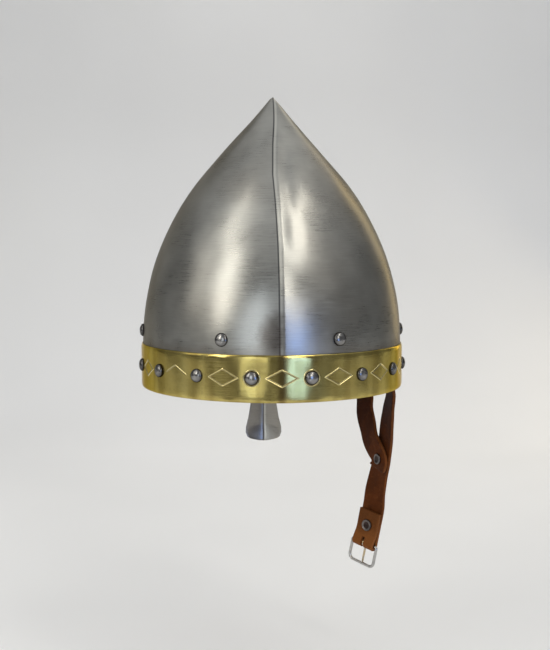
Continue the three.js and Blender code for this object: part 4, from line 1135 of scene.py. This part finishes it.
def strap_shape(ribbon, ends, holes=(), slot=None, tip=None, uv_from=0.0):
    """Leather strip: rounded edges and chosen ends, punched round holes, a slot, or a pointed tip.

    ends are the corner radii at the start and the end. Zero leaves an end square, and None leaves
    it at full thickness too, for an end that another piece goes on from. holes are ways back from
    the end, and slot is two points by the middle line. A hole is drawn by moving the grid round it
    from a square to a circle, less and less towards the block's edge."""
    total = ribbon.reach[-1]
    holes = [total - hole for hole in holes]
    close = np.array([0, 0.25, 0.7, 1.2])
    reach = np.concatenate([close[:-1], np.arange(close[-1], total - close[-1], 1.0),
                            total - close[::-1]])
    if slot:
        slot = [ribbon.nearest(point) for point in slot]
        reach = np.unique(np.concatenate([reach, slot]))
        reach = reach[np.concatenate([[True], np.diff(reach) > 0.2])]
    half = [0, 0.6, 1.5, 3, 4.5, 6, 7.5, 8.8, 9.8]
    if holes:
        half = [0, 0.6, 1.2, 1.8, 2.4, 3.0, 3.6, 5, 6.5, 8, 9.4]
        centres = [round(hole, 3) for hole in holes]
        fine = [centre + np.arange(-6, 7) * 0.6 for centre in centres]
        far = [r for r in reach if min(abs(r - c) for c in centres) > HOLE_BLOCK + 0.4]
        reach = np.unique(np.round(np.concatenate([far, *fine]), 4))
    half = np.array([*half, 10.3, 10.7, 10.92, STRAP_HALF])
    across = np.concatenate([-half[:0:-1], half])
    s, w = np.meshgrid(reach, across, indexing="ij")
    keep = np.ones((len(reach) - 1, len(across) - 1), bool)
    mid_s, mid_w = (s[:-1, :-1] + s[1:, 1:]) / 2, (w[:-1, :-1] + w[1:, 1:]) / 2
    for centre in holes:
        away = s - centre
        square, radius = np.maximum(np.abs(away), np.abs(w)), np.hypot(away, w)
        near = (square <= HOLE_BLOCK + 1e-6) & (square >= HOLE_CORE - 1e-6)
        share = (square - HOLE_CORE) / (HOLE_BLOCK - HOLE_CORE)
        outer = radius * HOLE_BLOCK / np.maximum(square, 1e-9)
        wanted = HOLE_RADIUS + share * (outer - HOLE_RADIUS)
        grow = np.where(near, wanted / np.maximum(radius, 1e-9), 1)
        keep &= np.maximum(np.abs(mid_s - centre), np.abs(mid_w)) >= HOLE_CORE
        s, w = centre + away * grow, w * grow
    if slot:
        keep &= ~((mid_s > slot[0]) & (mid_s < slot[1]) & (np.abs(mid_w) < SLOT_HALF))
    width = np.ones_like(s)
    for radius, way in zip(ends, (s, total - s)):
        if radius:
            short = np.clip(radius - way, 0, radius)
            width *= 1 - (radius - np.sqrt(radius ** 2 - short ** 2)) / STRAP_HALF
    if tip:
        width *= 1 - 0.78 * np.clip((s - total + tip) / tip, 0, 1) ** 1.7
    inwards = STRAP_HALF - np.abs(w)
    for radius, way in zip(ends, (s, total - s)):
        if radius is not None:
            inwards = np.minimum(inwards, way + 0.1)
    thick = STRAP / 2 * (0.4 + 0.6 * quarter_round(inwards))
    thick = thick * (1 + 0.03 * np.sin(0.31 * s + 0.7 * w))
    front, back = (ribbon.at(s, w * width, out) for out in (thick, -thick))
    return plate(front, back, uv_grid(uv_from + s, w), keep=keep)


# Buckle

def rounded_frame(plan):
    """Frame's wire line: a rectangle with arcs at its corners, the bar at the top."""
    corners = [(1, -1, 4.0), (-1, -1, 4.0), (-1, 1, 1.9), (1, 1, 1.9)]
    line, middle = [], FRAME_DROP / 2
    for right, up, radius in corners:
        for k in range(9):
            angle = np.arctan2(up, right) + np.pi / 4 - k * np.pi / 16
            line.append((right * (FRAME_HALF - radius) + radius * np.cos(angle),
                         -middle + up * (middle - radius) + radius * np.sin(angle)))
    line = np.array([*line, line[0]])
    steps = lengths_along(line)
    fine = np.linspace(0, steps[-1], 120, endpoint=False)
    spots = zip(*(np.interp(fine, steps, line[:, k]) for k in (0, 1)))
    return np.array([plan.on_bar(x, rise, 0) for x, rise in spots])


def prong_line(plan):
    """Prong's line: most of a loop round the bar, then a pin down over the frame's lower side."""
    reach = WIRE + GAP + PRONG
    angle = 2 * np.pi * 0.71 * (1 - np.linspace(0, 1, 30))
    loop = [(reach * np.sin(a), -reach * np.cos(a)) for a in angle]
    end = FRAME_DROP + PRONG_PAST
    pin = [(rise, -reach + 0.25 * np.sin(np.pi * -rise / end))
           for rise in np.linspace(-1.2, -end, 22)]
    return np.array([plan.on_bar(0, rise, out) for rise, out in loop + pin])


# Settings, operators and panel

def length_prop(name, description, default):
    return FloatProperty(name=name, description=description, default=default, min=0.0,
                         unit="LENGTH", subtype="DISTANCE", precision=5)


class HelmetShellSettings(bpy.types.PropertyGroup):
    """Sizes of the skull's and the band's surface detail."""
    unevenness: length_prop("Unevenness", "Height of the planishing waves in the steel", 0.00022)
    seam_step: length_prop("Seam step", "How far the left half stands proud of the right", 0.0006)
    dent_depth: length_prop("Dent depth", "Depth of the hollows beside the back seam", 0.0009)
    band_wave: length_prop("Band waves", "Height of the waves in the brass band", 0.00009)
    rivet_dish: length_prop("Rivet dish", "How far the band is drawn in at each rivet", 0.00025)
    struck_rise: length_prop("Struck lines", "Height of the lips beside each struck line", 0.00020)
    skull_columns: IntProperty(name="Skull columns", description="Grid columns in one half",
                               default=150, min=24, max=200)
    skull_rows: IntProperty(name="Skull rows", description="Grid rows in one half",
                            default=150, min=24, max=200)


class HelmetLinerSettings(bpy.types.PropertyGroup):
    """Sizes of the liner's surface detail."""
    leaf_sag: length_prop("Leaf sag", "How far each leaf hangs in from its CAD solid", 0.0004)
    lace_tail: length_prop("Lace ends", "How far the lace's two ends hang", 0.024)
    stitches: IntProperty(name="Stitches", description="Stitches in the headband's lower row",
                          default=132, min=0, max=300)


class HelmetStudioSettings(bpy.types.PropertyGroup):
    """Light and backdrop."""
    lamp_power: FloatProperty(name="Lamp power", description="Power of the tall lamp in watts",
                              default=8.5, min=0.0, subtype="POWER", unit="POWER")
    fill: FloatProperty(name="Fill", description="Strength of the plain surround overhead",
                        default=0.70, min=0.0, max=2.0)
    fill_low: FloatProperty(name="Low fill", description="Strength of the surround at eye level",
                            default=0.19, min=0.0, max=2.0)
    floor: FloatProperty(name="Floor height", description="Height of the paper floor",
                         default=-0.24, unit="LENGTH", subtype="DISTANCE")
    curved: BoolProperty(name="Curved backdrop", description="Paper rises behind the helmet",
                         default=True)


class HelmetOperator:
    """Shared behaviour: a piece is built once, and a second call is refused."""
    bl_options = {"REGISTER"}
    makes = ()

    def execute(self, context):
        again = [name for name in self.makes if name in bpy.data.objects]
        if again:
            raise RuntimeError(f"{self.bl_label}: {again[0]} is there already")
        self.build(context.scene)
        missing = [name for name in self.makes if name not in bpy.data.objects]
        if missing:
            raise RuntimeError(f"{self.bl_label}: {missing[0]} was not made")
        return {"FINISHED"}


class HELMET_OT_skull(HelmetOperator, bpy.types.Operator):
    """Builds the two steel halves and the weld bead inside their seam"""
    bl_idname = "helmet.skull"
    bl_label = "Skull halves"
    makes = ("skull_half_right", "skull_half_left", "seam_weld")

    def build(self, scene):
        for side, word in SIDES:
            shape = skull_half(side, scene.helmet_shell)
            add_piece(f"skull_half_{word}", shape, steel_material(), [f"skull_{word}"],
                      sharp=50)
        add_piece("seam_weld", weld_bead(), steel_material(), ["ridge_weld"], sharp=70)


class HELMET_OT_band(HelmetOperator, bpy.types.Operator):
    """Builds the brass rim band with its struck diamonds and rings"""
    bl_idname = "helmet.band"
    bl_label = "Rim band"
    makes = ("brass_band", "band_ornament")

    def build(self, scene):
        sizes = scene.helmet_shell
        add_piece("brass_band", rim_band(sizes), brass_material(), ["rim_band"], sharp=50)
        add_piece("band_ornament", band_ornament(sizes), chased_material(), sharp=60)


class HELMET_OT_nasal(HelmetOperator, bpy.types.Operator):
    """Builds the nose guard with its cross foot"""
    bl_idname = "helmet.nasal"
    bl_label = "Nasal"
    makes = ("nose_guard",)

    def build(self, scene):
        add_piece("nose_guard", nasal_shape(), steel_material(), ["nasal"], sharp=50)


class HELMET_OT_rivets(HelmetOperator, bpy.types.Operator):
    """Builds every rivet of the band, the liner and the nasal, and the liner's washers"""
    bl_idname = "helmet.rivets"
    bl_label = "Rivets"
    makes = ("nasal_rivet_head",)

    def build(self, scene):
        for side, number, turn in band_places():
            word = "right" if side > 0 else "left"
            plate_stack = NASAL_PLATE + 3 * GAP if number == RIVETS // 2 else 0
            strap_stack = STRAP + GAP if number in STRAP_RIVETS else 0
            head = 2 * GAP + BRASS + plate_stack - BAND_SINK
            button = -STEEL - GAP - BUTTON * FACET_RISE - strap_stack
            self.one(f"band_rivet_{word}_{number}", wall_place(turn, BAND_ROW), HEAD_RADIUS, head,
                     button, side * number)
        seat = -STEEL - 2 * GAP - LINER - WASHER_RADIUS * FACET_RISE
        for side, word in SIDES:
            for number, share in enumerate(LINER_SHARES, 1):
                place = wall_place(turn_at(side * share, LINER_ROW), LINER_ROW)
                self.one(f"liner_rivet_{word}_{number}", place, HEAD_RADIUS, GAP - LINER_SINK,
                         seat - WASHER - GAP, 3 * number)
                name = f"liner_washer_{word}_{number}"
                add_piece(f"{name}_ring", washer(place, seat), rivet_material(),
                          [name])
        self.one("nasal_rivet", wall_place(np.pi, NASAL_ROW), NASAL_HEAD, NASAL_PLATE + 2 * GAP,
                 -STEEL - 3 * GAP, 5)

    def one(self, name, place, radius, head, button, seed):
        shape = rivet(place, radius, HEAD_HEIGHT, head, button, seed)
        add_piece(f"{name}_head", shape, rivet_material(), [name])


class HELMET_OT_liner(HelmetOperator, bpy.types.Operator):
    """Builds the leather headband, its stitching, the six leaves and the crown lace"""
    bl_idname = "helmet.liner"
    bl_label = "Liner"
    makes = ("headband", "headband_stitches", "lace")

    def build(self, scene):
        sizes = scene.helmet_liner
        add_piece("headband", headband(), liner_material(), ["liner_band"])
        depth = STEEL + GAP + LINER + 0.08
        turns = np.linspace(-np.pi, np.pi, sizes.stitches, endpoint=False)
        rows = [stitch_row(turns, LINER_LOW + STITCH_INSET, depth)]
        for number in range(6):
            turns = (2 * number + 1) * LEAF_HALF + np.linspace(-0.42, 0.42, 17)
            rows.append(stitch_row(turns, LINER_TOP - STITCH_INSET, depth))
        add_piece("headband_stitches", join(rows), thread_material())
        for side, word in SIDES:
            for number in (1, 2, 3):
                shape = leaf(side * (2 * number - 1) * LEAF_HALF, sizes)
                name = f"liner_leaf_{word}_{number}"
                add_piece(f"{name}_leather", shape, liner_material(), [name])
        add_piece("lace", crown_lace(sizes), lace_material(), ["crown_lace"])


class HELMET_OT_straps(HelmetOperator, bpy.types.Operator):
    """Builds the chin straps, each in one strip from its riveted end inside the wall"""
    bl_idname = "helmet.straps"
    bl_label = "Chin straps"
    makes = ("strap_buckle_side", "leg_buckle_side", "strap_tongue_side", "leg_tongue_side",
             "strap_tongue_end")

    def build(self, scene):
        plan = StrapPlan()
        self.buckle_side(plan)
        self.tongue_side(plan)

    def strip(self, name, nodes, middles, acrosses, ends, ease=0.0, **more):
        """Piece of strap leather along its stations."""
        shape = strap_shape(Ribbon(middles, acrosses, ease), ends, **more)
        return add_piece(name, shape, strap_material(), nodes, None)

    def buckle_side(self, plan):
        """Strap that folds round the bar, and the leg that joins it."""
        tab, tab_across = plan.tab(0)
        fold, fold_across = plan.fold()
        slot = [plan.on_bar(0, SLOT_RISE, out) for out in (-FOLD_RADIUS, WIRE + 2 * GAP + 0.9)]
        made = self.strip("strap_buckle_side", ["buckle_strap", "buckle_strap_tab"],
                          tab + plan.way + fold, tab_across + plan.way_across + fold_across,
                          (3.0, 0.8), slot=slot)
        self.bend(made, plan.roots[0], "buckle_strap")
        tab, tab_across = plan.tab(1)
        leg, leg_across = plan.leg()
        made = self.strip("leg_buckle_side", ["buckle_strap_leg", "buckle_leg_tab"], tab + leg,
                          tab_across + leg_across, (3.0, 2.0), STRAP_HALF)
        self.bend(made, plan.roots[1], "buckle_strap")

    def bend(self, made, root, body):
        """Bakes the piece's transform into its mesh."""
        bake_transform(made)

    def tongue_side(self, plan):
        """Mirror image of the buckle's side down to the joint, swung up inside the skull."""
        axis, origin = plan.line * MIRROR, plan.swing * MIRROR

        def tuck(points, angle=-TUCK):
            return [about(axis, angle, origin, np.asarray(p) * MIRROR) for p in points]

        def tuck_across(vectors, angle=-TUCK):
            return [about(axis, angle, 0 * axis, np.asarray(v) * MIRROR) for v in vectors]
        fold_middle = plan.joint + plan.joint_run * (LEG_OVERLAP + STRAP)
        ways = ((0, plan.way[:JOINT + 1] + [fold_middle],
                 plan.way_across[:JOINT + 1] + [plan.joint_across],
                 "strap_tongue_side", ["tongue_strap", "tongue_strap_tab"], (3.0, None)),
                (1, *plan.leg(),
                 "leg_tongue_side", ["tongue_strap_leg", "tongue_leg_tab"], (3.0, 2.0)))
        for k, middles, acrosses, name, nodes, ends in ways:
            tab, tab_across = plan.tab(k)
            turns = -TUCK * np.linspace(0.12, 0.88, 6)
            bend = [tuck([middles[0]], angle)[0] for angle in turns]
            bend_across = [tuck_across([acrosses[0]], angle)[0] for angle in turns]
            tab, tab_across = ([v * MIRROR for v in part] for part in (tab, tab_across))
            made = self.strip(name, nodes, tab + bend + tuck(middles),
                              tab_across + bend_across + tuck_across(acrosses), ends,
                              STRAP_HALF * k)
            start, end = middles[0] * MIRROR, tuck([middles[0]])[0]
            start, end = start * [1, 1, 0], end * [1, 1, 0]
            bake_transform(made)
        self.tongue_end(plan, tuck, tuck_across, fold_middle)

    def tongue_end(self, plan, tuck, tuck_across, fold_middle):
        """Punched end, turned about the fold by more and more of its angle over the first way."""
        run = plan.joint_run * MIRROR
        across = plan.joint_across * MIRROR
        across = unit(across - run * (across @ run))
        pivot = fold_middle * MIRROR + np.cross(run, across) * STRAP / 2
        folded = 3.0
        middles = [about(across, -FOLD_TURN * smoothstep(reach, 0, folded), pivot,
                         fold_middle * MIRROR + run * reach) * MIRROR
                   for reach in (0, 0.8, 1.6, folded, 8, 30, 60, TONGUE)]
        middles, acrosses = tuck(middles), tuck_across([across * MIRROR] * len(middles))
        made = self.strip("strap_tongue_end", ["tongue_strap_end"], middles, acrosses, (None, 0),
                          holes=[HOLE_FIRST + HOLE_PITCH * k for k in range(HOLES)], tip=POINT,
                          uv_from=UV_AT_FOLD)
        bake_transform(made)


class HELMET_OT_buckle(HelmetOperator, bpy.types.Operator):
    """Builds the wire frame, the prong and the strap's own rivets"""
    bl_idname = "helmet.buckle"
    bl_label = "Buckle"
    makes = ("frame_wire", "prong_wire", "strap_rivet_joint", "strap_rivet_cap",
             "strap_rivet_tongue")

    def build(self, scene):
        plan = StrapPlan()
        shape = sweep(rounded_frame(plan), plan.face, WIRE, 20, True)
        add_piece("frame_wire", shape, nickel_material(), ["buckle_frame"],
                  "buckle_frame")
        line = prong_line(plan)
        radius = PRONG * np.interp(np.arange(len(line)), (0, 30, 44, 51), (0.92, 1, 1, 0.72))
        shape = sweep(line, plan.across, radius, 16, False)
        add_piece("prong_wire", shape, prong_material(), ["buckle_prong"],
                  "buckle_prong")
        face = STRAP / 2 + CAP_OFF
        stack = STRAP + 2 * GAP + face
        axis, origin = plan.line * MIRROR, plan.swing * MIRROR
        tucked = about(axis, -TUCK, origin, plan.joint * MIRROR)
        tucked_face = about(axis, -TUCK, 0 * axis, plan.joint_face * MIRROR)
        self.cap("joint", (plan.joint, plan.joint_face), 4.6, stack, -face,
                 "buckle_joint_rivet", "buckle_strap")
        self.cap("cap", (plan.on_bar(0, CAP_RISE, 0), plan.face), 5.0,
                 -FOLD_RADIUS + STRAP + GAP + face, -FOLD_RADIUS - face,
                 "buckle_cap_rivet", "buckle_strap")
        self.cap("tongue", (tucked, tucked_face), 4.25, stack, -face,
                 "tongue_joint_rivet", "tongue_strap")

    def cap(self, word, place, radius, seat, button, node, body):
        shape = rivet(place, radius, CAP_HEIGHT, seat, button, 2.0, capped=True)
        add_piece(f"strap_rivet_{word}", shape, cap_material(), [node], body)


# Stage, in metres: the camera's place, heading and pitch, and where the lamps point.
CAMERA_PLACE, CAMERA_LENS = (-0.0529, -0.8203, 0.1083), 56.3
CAMERA_HEADING, CAMERA_PITCH = (0.0678, 0.9977), 0.075
LAMP_TARGET = Vector((0, 0, 0.08))
# Paper: half width, front edge, where it bends up, radius of the bend, and wall above it.
PAPER_HALF, PAPER_FRONT, PAPER_BEND, PAPER_RADIUS, PAPER_WALL = 2.4, -1.0, 0.9, 0.7, 1.6
# Lamps: name, place and size in metres, share of the lamp power, and colour.
STUDIO_LAMPS = (
    ("left_low", (-1.32, -0.96, 0.78), (0.40, 1.05), 0.72, (1.0, 0.97, 0.89)),
    ("left_flank", (-1.55, -0.30, 0.66), (0.50, 0.72), 0.15, (1.0, 0.95, 0.86)),
    ("left_high", (-1.14, -0.48, 1.52), (0.24, 0.8), 0.30, (1.0, 0.97, 0.89)),
    ("left_front", (-0.62, -1.42, 0.18), (0.58, 0.72), 0.32, (0.86, 0.93, 1.0)),
    ("right_low", (0.55, -1.58, 0.70), (0.36, 0.80), 0.50, (1.0, 0.97, 0.89)),
    ("right_rim", (1.02, 1.16, 0.45), (0.25, 1.1), 0.27, (1.0, 0.84, 0.55)),
    ("right_mid", (0.76, -1.02, 1.38), (0.32, 0.75), 0.44, (1.0, 0.97, 0.89)),
    ("right_high", (0.70, -0.50, 1.62), (0.9, 0.24), 0.28, (1.0, 0.97, 0.89)),
    ("cool", (0.66, -1.60, -0.01), (0.45, 0.44), 0.34, (0.27, 0.46, 1.0)),
    ("behind", (0.3, 1.3, 1.3), (1.4, 0.8), 0.8, (1.0, 0.98, 0.95)),
)


class HELMET_OT_studio(HelmetOperator, bpy.types.Operator):
    """Sets the paper, the lamps, the surround and the camera"""
    bl_idname = "helmet.studio"
    bl_label = "Studio"
    makes = ("studio_paper", "studio_camera", *(f"studio_lamp_{lamp[0]}" for lamp in STUDIO_LAMPS))

    def build(self, scene):
        sizes = scene.helmet_studio
        self.paper(sizes)
        self.surround(scene, sizes)
        for word, place, size, share, colour in STUDIO_LAMPS:
            self.lamp(f"studio_lamp_{word}", place, size, share * sizes.lamp_power, colour)
        camera = bpy.data.cameras.new("studio_camera")
        camera.sensor_width, camera.lens = 36.0, CAMERA_LENS
        camera.clip_end = 20.0
        level = [part * np.cos(CAMERA_PITCH) for part in CAMERA_HEADING]
        heading = Vector((*level, -np.sin(CAMERA_PITCH)))
        scene.camera = self.stand("studio_camera", camera, CAMERA_PLACE, heading)
        scene.view_settings.view_transform = "Standard"

    def stand(self, name, data, place, heading):
        """Object at a place that looks along a heading."""
        holder = bpy.data.objects.new(name, data)
        holder.location = place
        holder.rotation_euler = heading.to_track_quat("-Z", "Y").to_euler()
        bpy.context.scene.collection.objects.link(holder)
        return holder

    def paper(self, sizes):
        """Paper sheet: flat floor that bends up into a wall behind the helmet."""
        bend = np.linspace(0, np.pi / 2 if sizes.curved else 0, 17)
        flat = np.linspace(PAPER_FRONT, PAPER_BEND, 12)
        y = np.concatenate([flat, PAPER_BEND + PAPER_RADIUS * np.sin(bend[1:])])
        z = np.concatenate([0 * flat, PAPER_RADIUS * (1 - np.cos(bend[1:]))])
        y, z = np.append(y, y[-1]), np.append(z, z[-1] + PAPER_WALL)
        x = np.linspace(-PAPER_HALF, PAPER_HALF, 13)
        grid = np.stack(np.broadcast_arrays(x[None], y[:, None], z[:, None] + sizes.floor), -1)
        grid = np.concatenate([grid[::-1], grid + [0, 0, -0.01] + np.array([0, 0.01, 0])])
        grid = np.concatenate([grid, grid[:1]])
        shape = skin(grid / MM, grid[..., :2])
        made = add_piece("studio_paper", shape, paper_material(), body=None)

    def surround(self, scene, sizes):
        """Plain surround whose strength rises from eye level to overhead."""
        world = bpy.data.worlds.new("studio_surround")
        world.use_nodes = True
        scene.world = world
        nodes, links = world.node_tree.nodes, world.node_tree.links
        ground = nodes["Background"]
        ground.inputs["Color"].default_value = (0.96, 0.98, 1.0, 1)
        way = nodes.new("ShaderNodeTexCoord")
        split = nodes.new("ShaderNodeSeparateXYZ")
        level = nodes.new("ShaderNodeMapRange")
        links.new(way.outputs["Generated"], split.inputs["Vector"])
        links.new(split.outputs["Z"], level.inputs["Value"])
        for label, value in (("From Min", 0.30), ("From Max", 0.95), ("To Min", sizes.fill_low),
                             ("To Max", sizes.fill)):
            level.inputs[label].default_value = value
        links.new(level.outputs["Result"], ground.inputs["Strength"])

    def lamp(self, name, place, size, power, colour):
        """Soft rectangular lamp that points at the helmet."""
        light = bpy.data.lights.new(name, "AREA")
        light.shape, light.size, light.size_y = "RECTANGLE", size[0], size[1]
        light.energy, light.color = power, colour
        self.stand(name, light, place, LAMP_TARGET - Vector(place))


OPERATORS = (HELMET_OT_skull, HELMET_OT_band, HELMET_OT_nasal, HELMET_OT_rivets, HELMET_OT_liner,
             HELMET_OT_straps, HELMET_OT_buckle, HELMET_OT_studio)
SETTINGS = (("helmet_shell", HelmetShellSettings), ("helmet_liner", HelmetLinerSettings),
            ("helmet_studio", HelmetStudioSettings))


class HELMET_PT_pieces(bpy.types.Panel):
    """Lists the pieces and their settings"""
    bl_label = "Helmet"
    bl_idname = "HELMET_PT_pieces"
    bl_space_type = "VIEW_3D"
    bl_region_type = "UI"
    bl_category = "Helmet"

    def draw(self, context):
        for operator in OPERATORS:
            self.layout.operator(operator.bl_idname)
        for label, kind in SETTINGS:
            group = getattr(context.scene, label)
            box = self.layout.box()
            for name in kind.__annotations__:
                box.prop(group, name)


def register():
    for label, kind in SETTINGS:
        bpy.utils.register_class(kind)
        setattr(bpy.types.Scene, label, PointerProperty(type=kind))
    for kind in (*OPERATORS, HELMET_PT_pieces):
        bpy.utils.register_class(kind)


def unregister():
    for kind in (HELMET_PT_pieces, *reversed(OPERATORS)):
        bpy.utils.unregister_class(kind)
    for label, kind in reversed(SETTINGS):
        delattr(bpy.types.Scene, label)
        bpy.utils.unregister_class(kind)


def main():
    """Registers the add-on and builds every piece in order."""
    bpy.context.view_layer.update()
    register()
    bpy.ops.helmet.skull()
    bpy.ops.helmet.band()
    bpy.ops.helmet.nasal()
    bpy.ops.helmet.rivets()
    bpy.ops.helmet.liner()
    bpy.ops.helmet.straps()
    bpy.ops.helmet.buckle()
    bpy.ops.helmet.studio()


if __name__ == "__main__":
    main()
